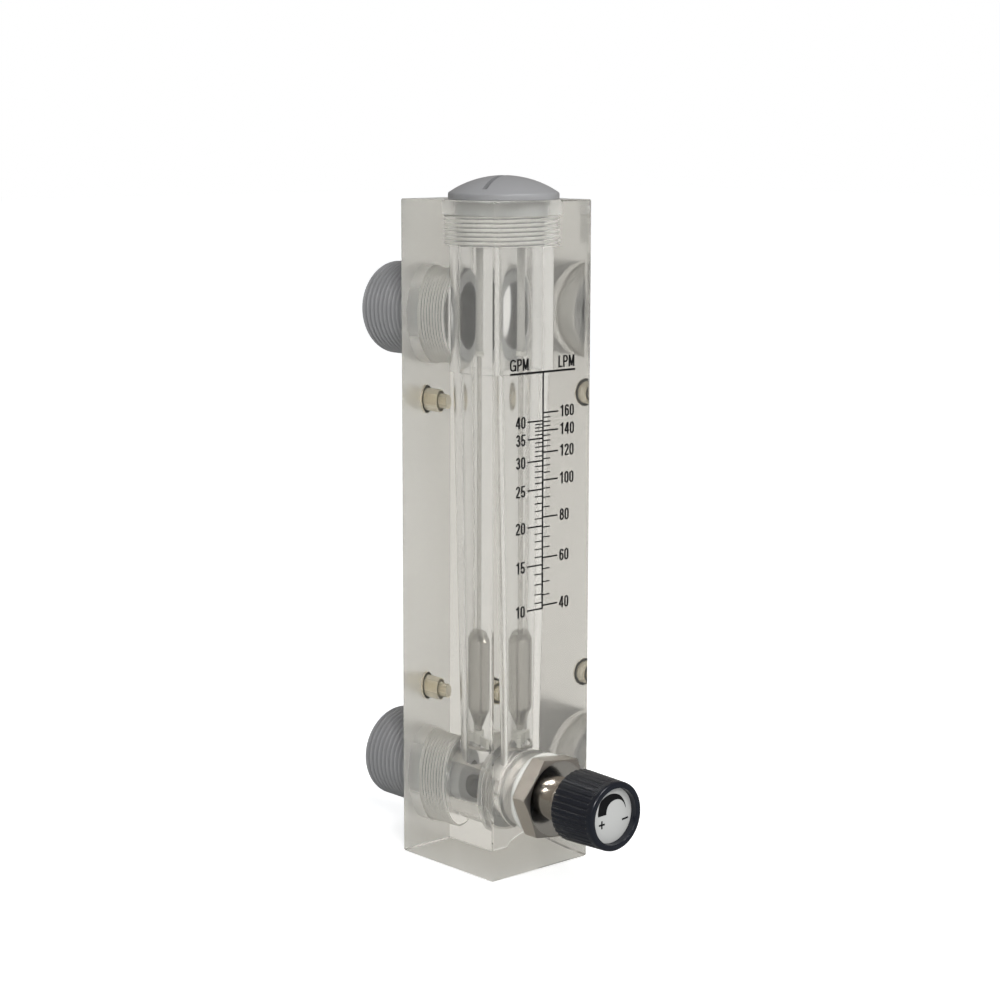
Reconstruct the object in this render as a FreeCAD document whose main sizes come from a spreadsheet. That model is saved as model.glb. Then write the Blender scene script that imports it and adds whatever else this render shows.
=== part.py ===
import FreeCAD, Part
import math
import os
import re
import Sketcher

# Clear acrylic panel flow meter with a needle valve.
# Frame: origin at the middle of the block's base, +X to the right of the scale,
# +Y to the back where the ports are, +Z up. All sizes are in millimetres.

SIZES = {
    # acrylic block
    "block_width": 45.0,
    "block_depth": 48.0,
    "block_height": 232.0,
    "block_edge": 0.5,
    # tapered metering tube and the chamber above it
    "tube_y": -4.0,
    "tube_foot_rise": 18.7,
    "tube_top_drop": 18.5,
    "tube_foot_radius": 8.2,
    "tube_top_radius": 11.7,
    "chamber_radius": 13.5,
    # socket for the top plug
    "plug_socket_radius": 16.0,
    "plug_socket_depth": 15.5,
    "plug_mouth_step": 0.8,
    "plug_mouth_depth": 5.0,
    # ports on the back
    "inlet_z": 27.3,
    "outlet_drop": 40.0,
    "port_socket_radius": 16.4,
    "port_wall": 0.8,
    "port_mouth_step": 0.8,
    "port_mouth_depth": 5.7,
    # valve chamber and the threaded hole for the bonnet
    "valve_chamber_radius": 12.3,
    "valve_chamber_depth": 12.6,
    "bonnet_hole_radius": 13.0,
    "relief_step": 1.1,
    "relief_width": 1.8,
    # port fittings
    "fitting_reach": 30.0,
    "fitting_thread_step": 0.2,
    "fitting_neck_step": 1.0,
    "fitting_neck_length": 4.0,
    "fitting_bore_radius": 11.65,
    "fitting_edge": 1.0,
    "pipe_pitch": 2.309,
    "pipe_depth": 1.3,
    "pipe_crest": 0.6,
    "nozzle_gap": 0.8,
    "nozzle_reach": 4.5,
    "nozzle_bore_radius": 8.6,
    "seat_web": 3.0,
    "seat_hole_radius": 5.6,
    "seat_ring_radius": 8.0,
    "seat_ring_depth": 1.2,
    # O-rings
    "port_seal_thickness": 1.9,
    "plug_seal_thickness": 1.9,
    # top plug
    "plug_lip": 2.2,
    "plug_rim_height": 2.2,
    "plug_dome_height": 5.9,
    "slot_width": 1.7,
    "slot_depth": 4.4,
    "slot_margin": 1.5,
    "slot_angle": 25.0,
    # guide rod and stops
    "rod_radius": 1.6,
    "rod_foot_drop": 5.5,
    "rod_socket_depth": 7.0,
    "sleeve_radius": 2.5,
    "sleeve_length": 36.05,
    "collar_radius": 3.1,
    "collar_height": 1.7,
    "guide_hub_radius": 3.2,
    "guide_bevel": 0.8,
    "guide_rise": 1.4,
    "guide_height": 4.6,
    "vane_width": 1.6,
    "vane_count": 3.0,
    "clip_height": 0.9,
    "clip_width": 1.5,
    # float
    "float_gap": 0.7,
    "float_tail_radius": 2.4,
    "float_tail_height": 2.0,
    "float_cone_radius": 3.3,
    "float_cone_height": 6.5,
    "float_body_height": 24.2,
    "float_bevel": 2.1,
    "float_play": 0.1,
    # brass inserts for the panel screws
    "insert_rise": 31.7,
    "insert_drop": 30.0,
    "insert_radius": 4.0,
    "insert_flange_radius": 5.0,
    "insert_flange": 0.8,
    "insert_length": 8.0,
    "insert_bore_radius": 2.5,
    "insert_drill_depth": 12.0,
    # valve bonnet
    "hex_flats": 27.0,
    "hex_height": 7.2,
    "hex_turn": -7.3,
    "hex_face_inset": 0.45,
    "hex_bevel": 0.8,
    "washer_thickness": 1.5,
    "washer_lip": 1.4,
    "shank_gap": 0.15,
    "bonnet_hollow_radius": 9.0,
    "bonnet_hollow_depth": 4.0,
    "packing_radius": 5.6,
    "packing_box_depth": 6.5,
    "packing_length": 3.2,
    # gland nut
    "gland_radius": 7.8,
    "gland_length": 10.7,
    "gland_edge": 0.4,
    # stem and valve plate
    "stem_radius": 3.5,
    "stem_end_radius": 3.0,
    "stem_end_length": 6.3,
    "stem_flat_depth": 0.5,
    "stem_head_step": 0.5,
    "stem_head_height": 1.1,
    "stem_play": 0.05,
    "valve_travel": 7.5,
    "disc_radius": 7.8,
    "disc_thickness": 2.9,
    "disc_boss_radius": 3.0,
    "disc_pocket_depth": 1.2,
    "seal_width": 3.9,
    "seal_depth": 1.2,
    "seal_proud": 0.3,
    "disc_clip_radius": 5.3,
    "disc_clip_thickness": 0.8,
    # knob
    "knob_radius": 12.6,
    "knob_draft": 0.6,
    "knob_clearance": 2.0,
    "hub_clearance": 0.7,
    "skirt_clearance": 0.8,
    "knob_hub_length": 6.5,
    "knob_rim": 2.2,
    "knob_recess_depth": 3.1,
    "knob_edge": 0.7,
    "knob_back_edge": 0.35,
    "knob_band": 2.4,
    "flute_count": 36.0,
    "flute_width": 1.2,
    "flute_depth": 0.35,
    "bush_radius": 5.2,
    "screw_radius": 1.45,
    "screw_length": 5.0,
    "screw_socket_radius": 0.75,
    "screw_socket_depth": 1.6,
    "plate_thickness": 0.6,
    # clearances, and how far a cut runs past what it cuts
    "slide_gap": 0.08,
    "seat_gap": 0.05,
    "cut_margin": 1.0,
}

# Places that follow from the sizes above.
PLACES = {
    "front_y": "-block_depth / 2",
    "back_y": "block_depth / 2",
    "outlet_z": "block_height - outlet_drop",
    "tube_foot_z": "inlet_z + tube_foot_rise",
    "tube_top_z": "outlet_z - tube_top_drop",
    "plug_socket_z": "block_height - plug_socket_depth",
    "plug_mouth_z": "block_height - plug_mouth_depth",
    "plug_mouth_radius": "plug_socket_radius + plug_mouth_step",
    "plug_head_radius": "plug_mouth_radius + plug_lip",
    "slot_reach": "plug_head_radius - slot_margin",
    "port_floor_y": "tube_y + tube_foot_radius + port_wall",
    "port_mouth_y": "back_y - port_mouth_depth",
    "port_mouth_radius": "port_socket_radius + port_mouth_step",
    "shoulder_y": "front_y + valve_chamber_depth",
    "relief_y": "shoulder_y - relief_width",
    "relief_radius": "bonnet_hole_radius + relief_step",
    "nozzle_radius": "valve_chamber_radius - nozzle_gap",
    "nozzle_end_y": "port_floor_y - nozzle_reach",
    "fitting_end_y": "back_y + fitting_reach",
    "fitting_thread_radius": "port_socket_radius + fitting_thread_step",
    "fitting_neck_radius": "fitting_thread_radius - fitting_neck_step",
    "fitting_neck_y": "back_y + fitting_neck_length",
    "pipe_half_width": "(pipe_pitch - pipe_crest) / 2",
    "pipe_groove_y": "fitting_neck_y + pipe_crest + pipe_half_width",
    "guide_top_z": "tube_foot_z + guide_rise",
    "guide_foot_z": "guide_top_z - guide_height",
    "rod_foot_z": "tube_foot_z - rod_foot_drop",
    "plug_foot_z": "plug_socket_z + seat_gap",
    "rod_top_z": "plug_foot_z + rod_socket_depth",
    "sleeve_foot_z": "plug_foot_z - sleeve_length",
    "collar_foot_z": "sleeve_foot_z - collar_height",
    "plug_rim_z": "block_height + plug_rim_height",
    "plug_top_z": "plug_rim_z + plug_dome_height",
    "float_radius": "tube_foot_radius - float_gap",
    "float_foot_z": "guide_top_z + float_play",
    "float_cone_z": "float_foot_z + float_tail_height",
    "float_body_z": "float_cone_z + float_cone_height",
    "float_crown_z": "float_body_z + float_body_height",
    "float_top_z": "float_crown_z + float_bevel",
    "insert_low_z": "inlet_z + insert_rise",
    "insert_high_z": "outlet_z - insert_drop",
    "shank_radius": "bonnet_hole_radius - shank_gap",
    "washer_radius": "bonnet_hole_radius + washer_lip",
    "hex_back_y": "front_y - washer_thickness",
    "hex_face_y": "hex_back_y - hex_height",
    "hex_face_radius": "hex_flats / 2 - hex_face_inset",
    "hex_corner_radius": "hex_flats / (2 * cos(30 deg))",
    "bevel_reach": "hex_corner_radius + cut_margin",
    "packing_floor_y": "hex_face_y + packing_box_depth",
    "packing_face_y": "packing_floor_y - packing_length",
    "gland_end_y": "hex_face_y - gland_length",
    "seal_face_y": "nozzle_end_y - valve_travel - seat_gap",
    "disc_front_y": "seal_face_y - seal_proud",
    "disc_back_y": "disc_front_y - disc_thickness",
    "seal_floor_y": "disc_front_y - seal_depth",
    "pocket_floor_y": "disc_back_y + disc_pocket_depth",
    "stem_flat": "stem_end_radius - stem_flat_depth",
    "stem_head_radius": "stem_radius + stem_head_step",
    "knob_back_y": "hex_face_y - valve_travel - knob_clearance",
    "hub_back_y": "gland_end_y - valve_travel - hub_clearance",
    "recess_floor_y": "hub_back_y - knob_hub_length",
    "knob_front_y": "recess_floor_y - knob_recess_depth",
    "knob_front_radius": "knob_radius - knob_draft",
    "knob_recess_radius": "knob_front_radius - knob_rim",
    "knob_skirt_radius": "gland_radius + skirt_clearance",
    "stem_end_y": "hub_back_y - stem_end_length",
    "screw_y": "(hub_back_y + recess_floor_y) / 2",
}

SHEET = "sizes"


def write_sheet(doc):
    """Puts every size, then every place worked out from them, in its own named cell."""
    sheet = doc.addObject("Spreadsheet::Sheet", SHEET)
    row = 1
    for name, value in SIZES.items():
        sheet.set("A%d" % row, name)
        sheet.set("B%d" % row, repr(value))
        sheet.setAlias("B%d" % row, name)
        row += 1
    for name, formula in PLACES.items():
        sheet.set("A%d" % row, name)
        sheet.set("B%d" % row, "=" + formula)
        sheet.setAlias("B%d" % row, name)
        row += 1
    doc.recompute()
    return sheet


def cells(formula):
    """The formula with each size name pointing at its cell."""
    return re.sub(r"\b[a-z]+_[a-z_]+\b", lambda word: SHEET + "." + word.group(0), formula)


def value_of(item, formula):
    """What the formula gives now, as a plain number."""
    result = item.evalExpression(cells(formula))
    return float(getattr(result, "Value", result))


def bind(item, prop, formula):
    """Ties one property of the item to a formula of named sizes."""
    item.setExpression(prop, cells(formula))


def origin_plane(body, role):
    for feature in body.Origin.OriginFeatures:
        if feature.Role == role:
            return feature
    raise ValueError(role)


def new_sketch(body, name, role, offset=None):
    """A sketch on one of the body's own origin planes, moved along its normal by the offset."""
    sketch = body.newObject("Sketcher::SketchObject", name)
    sketch.AttachmentSupport = (origin_plane(body, role), [""])
    sketch.MapMode = "FlatFace"
    if offset is not None:
        bind(sketch, ".AttachmentOffset.Base.z", offset)
    return sketch


def pin_point(sketch, edge, end, across, along):
    """Holds one end of an edge at two formulas, measured from the sketch's origin."""
    for kind, formula, axis in (("DistanceX", across, -2), ("DistanceY", along, -1)):
        if formula == "0":
            sketch.addConstraint(Sketcher.Constraint("PointOnObject", edge, end, axis))
            continue
        number = value_of(sketch, formula)
        index = sketch.addConstraint(Sketcher.Constraint(kind, edge, end, number))
        bind(sketch, "Constraints[%d]" % index, formula)


def draw_outline(sketch, points):
    """A closed outline of straight edges whose corners are pairs of formulas."""
    corners = []
    for across, along in points:
        corners.append(FreeCAD.Vector(value_of(sketch, across), value_of(sketch, along), 0))
    count = len(corners)
    first = sketch.GeometryCount
    for index in range(count):
        sketch.addGeometry(Part.LineSegment(corners[index], corners[(index + 1) % count]), False)
    for index in range(count):
        after = first + (index + 1) % count
        sketch.addConstraint(Sketcher.Constraint("Coincident", first + index, 2, after, 1))
    for index, (across, along) in enumerate(points):
        pin_point(sketch, first + index, 1, across, along)


def draw_circle(sketch, across, along, radius):
    """A circle whose middle and radius are formulas."""
    middle = FreeCAD.Vector(value_of(sketch, across), value_of(sketch, along), 0)
    size = value_of(sketch, radius)
    edge = sketch.addGeometry(Part.Circle(middle, FreeCAD.Vector(0, 0, 1), size), False)
    pin_point(sketch, edge, 3, across, along)
    index = sketch.addConstraint(Sketcher.Constraint("Radius", edge, size))
    bind(sketch, "Constraints[%d]" % index, radius)


def new_body(doc, label, place=None):
    """An empty body; place gives formulas for its x, y and z."""
    body = doc.addObject("PartDesign::Body", label)
    body.Label = label
    for letter, formula in zip("xyz", place or ()):
        if formula != "0":
            bind(body, ".Placement.Base." + letter, formula)
    return body


def revolve(body, name, role, points, cut=False, offset=None, axis="V_Axis"):
    """Turns an outline once round the sketch's own axis, adding or cutting material."""
    sketch = new_sketch(body, name + "_outline", role, offset)
    draw_outline(sketch, points)
    kind = "PartDesign::Groove" if cut else "PartDesign::Revolution"
    feature = body.newObject(kind, name)
    feature.Profile = sketch
    feature.ReferenceAxis = (sketch, [axis])
    feature.Angle = 360.0
    body.Tip = feature
    return feature


def pad(body, name, role, draw, length, offset=None, reverse=False):
    """Pads what draw puts in a sketch."""
    sketch = new_sketch(body, name + "_outline", role, offset)
    draw(sketch)
    feature = body.newObject("PartDesign::Pad", name)
    feature.Profile = sketch
    feature.Reversed = reverse
    bind(feature, "Length", length)
    body.Tip = feature
    return feature


def pocket(doc, body, name, role, draw, length, offset=None, reverse=False, lean=None):
    """Cuts what draw puts in a sketch, and checks that it took material away.

    A cut that isn't square to its sketch has lean, two formulas for the way back out in x and y.
    """
    doc.recompute()
    before = body.Shape.Volume
    sketch = new_sketch(body, name + "_outline", role, offset)
    draw(sketch)
    feature = body.newObject("PartDesign::Pocket", name)
    feature.Profile = sketch
    feature.Reversed = reverse
    bind(feature, "Length", length)
    if lean is not None:
        feature.UseCustomVector = True
        feature.Direction = FreeCAD.Vector(1, 1, 0)
        for letter, formula in zip("xy", lean):
            bind(feature, "Direction." + letter, formula)
    body.Tip = feature
    doc.recompute()
    if body.Shape.Volume >= before:
        raise RuntimeError(body.Label + ": " + name + " cuts nothing")
    return feature


def turned(doc, label, role, points, place=None):
    """A plain turned piece: one outline round its axis."""
    body = new_body(doc, label, place)
    revolve(body, label + "_turning", role, points)
    return body


# Vertical pieces are drawn across X and along Z, and horizontal ones across X and along Y.
UPRIGHT = "XZ_Plane"
LEVEL = "XY_Plane"
BLOCK_EDGES = 12
HEX_SIDES = 6
ON_TUBE = ("0", "tube_y", "0")
ON_INLET = ("0", "0", "inlet_z")
ON_OUTLET = ("0", "0", "outlet_z")


def block(doc):
    """The acrylic block: tube, chamber and plug socket upright, ports and valve hole level."""
    body = new_body(doc, "body_block")
    half = "block_width / 2"
    corners = [("-" + half, "front_y"), (half, "front_y"), (half, "back_y"), ("-" + half, "back_y")]
    slab = pad(body, "slab", LEVEL, lambda sketch: draw_outline(sketch, corners), "block_height")
    doc.recompute()
    edge = body.newObject("PartDesign::Chamfer", "polished_edges")
    edge.Base = (slab, ["Edge%d" % (number + 1) for number in range(BLOCK_EDGES)])
    bind(edge, "Size", "block_edge")
    body.Tip = edge
    tube = [
        ("0", "inlet_z"),
        ("tube_foot_radius", "inlet_z"),
        ("tube_foot_radius", "tube_foot_z"),
        ("tube_top_radius", "tube_top_z"),
        ("chamber_radius", "tube_top_z"),
        ("chamber_radius", "plug_socket_z"),
        ("plug_socket_radius", "plug_socket_z"),
        ("plug_socket_radius", "plug_mouth_z"),
        ("plug_mouth_radius", "plug_mouth_z"),
        ("plug_mouth_radius", "block_height"),
        ("0", "block_height"),
    ]
    revolve(body, "metering_tube", UPRIGHT, tube, cut=True, offset="-tube_y")
    socket = [
        ("0", "port_floor_y"),
        ("port_socket_radius", "port_floor_y"),
        ("port_socket_radius", "port_mouth_y"),
        ("port_mouth_radius", "port_mouth_y"),
        ("port_mouth_radius", "back_y"),
        ("0", "back_y"),
    ]
    revolve(body, "outlet_socket", LEVEL, socket, cut=True, offset="outlet_z")
    revolve(body, "inlet_socket", LEVEL, socket, cut=True, offset="inlet_z")
    valve = [
        ("0", "front_y"),
        ("bonnet_hole_radius", "front_y"),
        ("bonnet_hole_radius", "relief_y"),
        ("relief_radius", "relief_y"),
        ("relief_radius", "shoulder_y"),
        ("valve_chamber_radius", "shoulder_y"),
        ("valve_chamber_radius", "port_floor_y"),
        ("0", "port_floor_y"),
    ]
    revolve(body, "valve_chamber", LEVEL, valve, cut=True, offset="inlet_z")
    insert = [
        ("0", "back_y - insert_drill_depth"),
        ("insert_bore_radius", "back_y - insert_drill_depth"),
        ("insert_bore_radius", "back_y - insert_length"),
        ("insert_radius", "back_y - insert_length"),
        ("insert_radius", "back_y - insert_flange"),
        ("insert_flange_radius", "back_y - insert_flange"),
        ("insert_flange_radius", "back_y"),
        ("0", "back_y"),
    ]
    revolve(body, "lower_insert_hole", LEVEL, insert, cut=True, offset="insert_low_z")
    revolve(body, "upper_insert_hole", LEVEL, insert, cut=True, offset="insert_high_z")
    return body


def fitting_outside():
    """The outside of a port fitting from the thread's end back to its inner end."""
    return [
        ("fitting_bore_radius", "fitting_end_y"),
        ("fitting_thread_radius - fitting_edge", "fitting_end_y"),
        ("fitting_thread_radius", "fitting_end_y - fitting_edge"),
        ("fitting_thread_radius", "fitting_neck_y"),
        ("fitting_neck_radius", "fitting_neck_y"),
        ("fitting_neck_radius", "back_y"),
        ("port_mouth_radius - seat_gap", "back_y"),
        ("port_mouth_radius - seat_gap", "port_mouth_y + port_seal_thickness"),
        ("port_socket_radius - seat_gap", "port_mouth_y + port_seal_thickness"),
    ]


def fitting(doc, label, points, place):
    """A port fitting: its turned body, then the pipe thread as a row of grooves."""
    body = turned(doc, label, LEVEL, points, place)
    reach = "pipe_half_width * (pipe_depth + cut_margin) / pipe_depth"
    groove = [
        ("fitting_thread_radius - pipe_depth", "pipe_groove_y"),
        ("fitting_thread_radius + cut_margin", "pipe_groove_y + " + reach),
        ("fitting_thread_radius + cut_margin", "pipe_groove_y - " + reach),
    ]
    first = revolve(body, label + "_groove", LEVEL, groove, cut=True)
    thread = body.newObject("PartDesign::LinearPattern", label + "_thread")
    thread.Originals = [first]
    thread.Direction = (origin_plane(body, "Y_Axis"), [""])
    thread.Mode = "Spacing"
    bind(thread, "Offset", "pipe_pitch")
    bind(thread, "Occurrences", "floor((fitting_reach - fitting_neck_length) / pipe_pitch)")
    body.Tip = thread
    return body


def outlet_fitting(doc):
    """A straight threaded fitting that is open right through."""
    points = fitting_outside() + [
        ("port_socket_radius - seat_gap", "port_floor_y + seat_gap"),
        ("fitting_bore_radius", "port_floor_y + seat_gap"),
    ]
    return fitting(doc, "outlet_fitting", points, ON_OUTLET)


def inlet_fitting(doc):
    """As the outlet fitting, with a nozzle inside that ends in the valve seat."""
    points = fitting_outside() + [
        ("port_socket_radius - seat_gap", "port_floor_y + seat_gap"),
        ("nozzle_radius", "port_floor_y + seat_gap"),
        ("nozzle_radius", "nozzle_end_y"),
        ("seat_ring_radius", "nozzle_end_y"),
        ("seat_ring_radius", "nozzle_end_y + seat_ring_depth"),
        ("seat_hole_radius", "nozzle_end_y + seat_ring_depth"),
        ("seat_hole_radius", "nozzle_end_y + seat_web"),
        ("nozzle_bore_radius", "nozzle_end_y + seat_web"),
        ("nozzle_bore_radius", "port_mouth_y"),
        ("fitting_bore_radius", "port_mouth_y + fitting_bore_radius - nozzle_bore_radius"),
    ]
    return fitting(doc, "inlet_fitting", points, ON_INLET)


def port_seal(doc, label, place):
    """A rubber ring on the step between the fitting's collar and its thread."""
    points = [
        ("port_socket_radius - seat_gap", "port_mouth_y"),
        ("port_mouth_radius", "port_mouth_y"),
        ("port_mouth_radius", "port_mouth_y + port_seal_thickness"),
        ("port_socket_radius - seat_gap", "port_mouth_y + port_seal_thickness"),
    ]
    return turned(doc, label, LEVEL, points, place)


def valve_seat(doc):
    """The ring let into the nozzle's end, which the valve closes on."""
    points = [
        ("seat_hole_radius", "nozzle_end_y"),
        ("seat_ring_radius", "nozzle_end_y"),
        ("seat_ring_radius", "nozzle_end_y + seat_ring_depth"),
        ("seat_hole_radius", "nozzle_end_y + seat_ring_depth"),
    ]
    return turned(doc, "valve_seat", LEVEL, points, ON_INLET)


def top_plug(doc):
    """Domed head, smooth collar and threaded shank, with a screwdriver slot across the dome."""
    body = new_body(doc, "top_plug", ON_TUBE)
    sketch = new_sketch(body, "plug_outline", UPRIGHT)
    points = [
        ("0", "plug_rim_z"),
        ("0", "rod_top_z"),
        ("rod_radius + seat_gap", "rod_top_z"),
        ("rod_radius + seat_gap", "plug_foot_z"),
        ("plug_socket_radius - seat_gap", "plug_foot_z"),
        ("plug_socket_radius - seat_gap", "plug_mouth_z + plug_seal_thickness"),
        ("plug_mouth_radius - seat_gap", "plug_mouth_z + plug_seal_thickness"),
        ("plug_mouth_radius - seat_gap", "block_height"),
        ("plug_head_radius", "block_height"),
        ("plug_head_radius", "plug_rim_z"),
    ]
    draw_outline(sketch, points)
    shank = body.newObject("PartDesign::Revolution", "plug_shank")
    shank.Profile = sketch
    shank.ReferenceAxis = (sketch, ["V_Axis"])
    shank.Angle = 360.0
    body.Tip = shank
    dome(body)
    slot(doc, body)
    return body


def dome(body):
    """The crown: an arc from the rim to the axis, turned round it."""
    sketch = new_sketch(body, "dome_outline", UPRIGHT)
    radius = value_of(sketch, "plug_head_radius")
    height = value_of(sketch, "plug_dome_height")
    rim = value_of(sketch, "plug_rim_z")
    ball = (radius ** 2 + height ** 2) / (2 * height)
    middle = FreeCAD.Vector(0, rim + height - ball, 0)
    start = math.atan2(ball - height, radius)
    circle = Part.Circle(middle, FreeCAD.Vector(0, 0, 1), ball)
    arc = sketch.addGeometry(Part.ArcOfCircle(circle, start, math.pi / 2), False)
    rim_point = FreeCAD.Vector(radius, rim, 0)
    top_point = FreeCAD.Vector(0, rim + height, 0)
    foot_point = FreeCAD.Vector(0, rim, 0)
    axis = sketch.addGeometry(Part.LineSegment(top_point, foot_point), False)
    base = sketch.addGeometry(Part.LineSegment(foot_point, rim_point), False)
    sketch.addConstraint(Sketcher.Constraint("Coincident", arc, 2, axis, 1))
    sketch.addConstraint(Sketcher.Constraint("Coincident", axis, 2, base, 1))
    sketch.addConstraint(Sketcher.Constraint("Coincident", base, 2, arc, 1))
    sketch.addConstraint(Sketcher.Constraint("PointOnObject", arc, 3, -2))
    pin_point(sketch, axis, 1, "0", "plug_top_z")
    pin_point(sketch, base, 1, "0", "plug_rim_z")
    pin_point(sketch, base, 2, "plug_head_radius", "plug_rim_z")
    crown = body.newObject("PartDesign::Revolution", "plug_crown")
    crown.Profile = sketch
    crown.ReferenceAxis = (sketch, ["V_Axis"])
    crown.Angle = 360.0
    body.Tip = crown


def slot(doc, body):
    """The screwdriver slot, drawn square to X and turned to its angle."""
    half = "slot_width / 2"
    reach = "slot_reach"
    corners = [("-" + reach, "-" + half), (reach, "-" + half), (reach, half), ("-" + reach, half)]

    def draw(sketch):
        draw_outline(sketch, corners)
        bind(sketch, ".AttachmentOffset.Rotation.Angle", "slot_angle")

    pocket(doc, body, "slot", LEVEL, draw, "slot_depth", offset="plug_top_z")


def plug_seal(doc):
    """A rubber ring under the plug's smooth collar."""
    points = [
        ("plug_socket_radius - seat_gap", "plug_mouth_z"),
        ("plug_mouth_radius", "plug_mouth_z"),
        ("plug_mouth_radius", "plug_mouth_z + plug_seal_thickness"),
        ("plug_socket_radius - seat_gap", "plug_mouth_z + plug_seal_thickness"),
    ]
    return turned(doc, "plug_seal", UPRIGHT, points, ON_TUBE)


def guide_rod(doc):
    points = [
        ("0", "rod_foot_z"),
        ("rod_radius", "rod_foot_z"),
        ("rod_radius", "rod_top_z"),
        ("0", "rod_top_z"),
    ]
    return turned(doc, "guide_rod", UPRIGHT, points, ON_TUBE)


def rod_ring(doc, label, radius, foot, top):
    """A ring that sits on the guide rod."""
    points = [
        ("rod_radius + seat_gap", foot),
        (radius, foot),
        (radius, top),
        ("rod_radius + seat_gap", top),
    ]
    return turned(doc, label, UPRIGHT, points, ON_TUBE)


def lower_guide(doc):
    """A hub with three vanes that centres the rod's foot and stops the float."""
    body = new_body(doc, "lower_guide", ON_TUBE)
    bore = "rod_radius + seat_gap"
    hub = [
        (bore, "guide_foot_z"),
        ("guide_hub_radius", "guide_foot_z"),
        ("guide_hub_radius", "guide_top_z - guide_bevel"),
        ("guide_hub_radius - guide_bevel", "guide_top_z"),
        (bore, "guide_top_z"),
    ]
    revolve(body, "guide_hub", UPRIGHT, hub)
    half = "vane_width / 2"
    inner = "rod_radius + vane_width / 2"
    outer = "tube_foot_radius - seat_gap"
    corners = [(inner, "-" + half), (outer, "-" + half), (outer, half), (inner, half)]
    height = "tube_foot_z - guide_foot_z"
    vane = pad(body, "guide_vane", LEVEL, lambda sketch: draw_outline(sketch, corners), height,
               offset="guide_foot_z")
    vanes = body.newObject("PartDesign::PolarPattern", "guide_vanes")
    vanes.Originals = [vane]
    vanes.Axis = (origin_plane(body, "Z_Axis"), [""])
    vanes.Angle = 360.0
    bind(vanes, "Occurrences", "vane_count")
    body.Tip = vanes
    return body


def guide_clip(doc):
    """The ring sprung into the tube's foot under the guide."""
    points = [
        ("tube_foot_radius - clip_width", "guide_foot_z - clip_height"),
        ("tube_foot_radius", "guide_foot_z - clip_height"),
        ("tube_foot_radius", "guide_foot_z"),
        ("tube_foot_radius - clip_width", "guide_foot_z"),
    ]
    return turned(doc, "guide_clip", UPRIGHT, points, ON_TUBE)


def float_piece(doc):
    """The float: short tail, cone, straight body and bevelled crown, bored for the rod."""
    bore = "rod_radius + slide_gap"
    points = [
        (bore, "float_foot_z"),
        ("float_tail_radius", "float_foot_z"),
        ("float_tail_radius", "float_cone_z"),
        ("float_cone_radius", "float_cone_z"),
        ("float_radius", "float_body_z"),
        ("float_radius", "float_crown_z"),
        ("float_radius - float_bevel", "float_top_z"),
        (bore, "float_top_z"),
    ]
    return turned(doc, "float", UPRIGHT, points, ON_TUBE)


def mount_insert(doc, label, height):
    """A flanged brass bush, flush with the back face, that takes a panel screw."""
    points = [
        ("insert_bore_radius", "back_y - insert_length"),
        ("insert_radius - seat_gap", "back_y - insert_length"),
        ("insert_radius - seat_gap", "back_y - insert_flange"),
        ("insert_flange_radius - seat_gap", "back_y - insert_flange"),
        ("insert_flange_radius - seat_gap", "back_y"),
        ("insert_bore_radius", "back_y"),
    ]
    return turned(doc, label, LEVEL, points, ("0", "0", height))


def valve_bonnet(doc):
    """Hexagon head with a bevelled face, a threaded shank, and a bore for stem and packing."""
    body = new_body(doc, "valve_bonnet", ON_INLET)
    corners = []
    for number in range(HEX_SIDES):
        turn = "(hex_turn + 360 * %d / %d) * 1 deg" % (number, HEX_SIDES)
        corners.append(("hex_corner_radius * cos(%s)" % turn, "hex_corner_radius * sin(%s)" % turn))
    pad(body, "hexagon", UPRIGHT, lambda sketch: draw_outline(sketch, corners), "hex_height",
        offset="-hex_back_y")
    bevel = [
        ("hex_face_radius", "hex_face_y"),
        ("bevel_reach", "hex_face_y"),
        ("bevel_reach", "hex_face_y + hex_bevel * (bevel_reach - hex_face_radius) / "
         "(hex_corner_radius - hex_face_radius)"),
    ]
    revolve(body, "hexagon_bevel", LEVEL, bevel, cut=True)
    shank = [
        ("0", "relief_y + seat_gap"),
        ("shank_radius", "relief_y + seat_gap"),
        ("shank_radius", "hex_back_y"),
        ("0", "hex_back_y"),
    ]
    revolve(body, "shank", LEVEL, shank)
    bore = [
        ("0", "relief_y + seat_gap"),
        ("bonnet_hollow_radius", "relief_y + seat_gap"),
        ("bonnet_hollow_radius", "relief_y + seat_gap - bonnet_hollow_depth"),
        ("stem_radius + stem_play", "relief_y + seat_gap - bonnet_hollow_depth"),
        ("stem_radius + stem_play", "packing_floor_y"),
        ("packing_radius", "packing_floor_y"),
        ("packing_radius", "hex_face_y"),
        ("0", "hex_face_y"),
    ]
    revolve(body, "stem_bore", LEVEL, bore, cut=True)
    return body


def bonnet_ring(doc, label, inner, outer, start, end):
    """A flat ring on the valve axis."""
    points = [(inner, start), (outer, start), (outer, end), (inner, end)]
    return turned(doc, label, LEVEL, points, ON_INLET)


def gland_nut(doc):
    """Round nut whose spigot presses the packing; the stem runs through it."""
    bore = "stem_radius + 2 * stem_play"
    points = [
        (bore, "packing_face_y"),
        ("packing_radius - seat_gap", "packing_face_y"),
        ("packing_radius - seat_gap", "hex_face_y"),
        ("gland_radius", "hex_face_y"),
        ("gland_radius", "gland_end_y + gland_edge"),
        ("gland_radius - gland_edge", "gland_end_y"),
        (bore, "gland_end_y"),
    ]
    return turned(doc, "gland_nut", LEVEL, points, ON_INLET)


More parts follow.
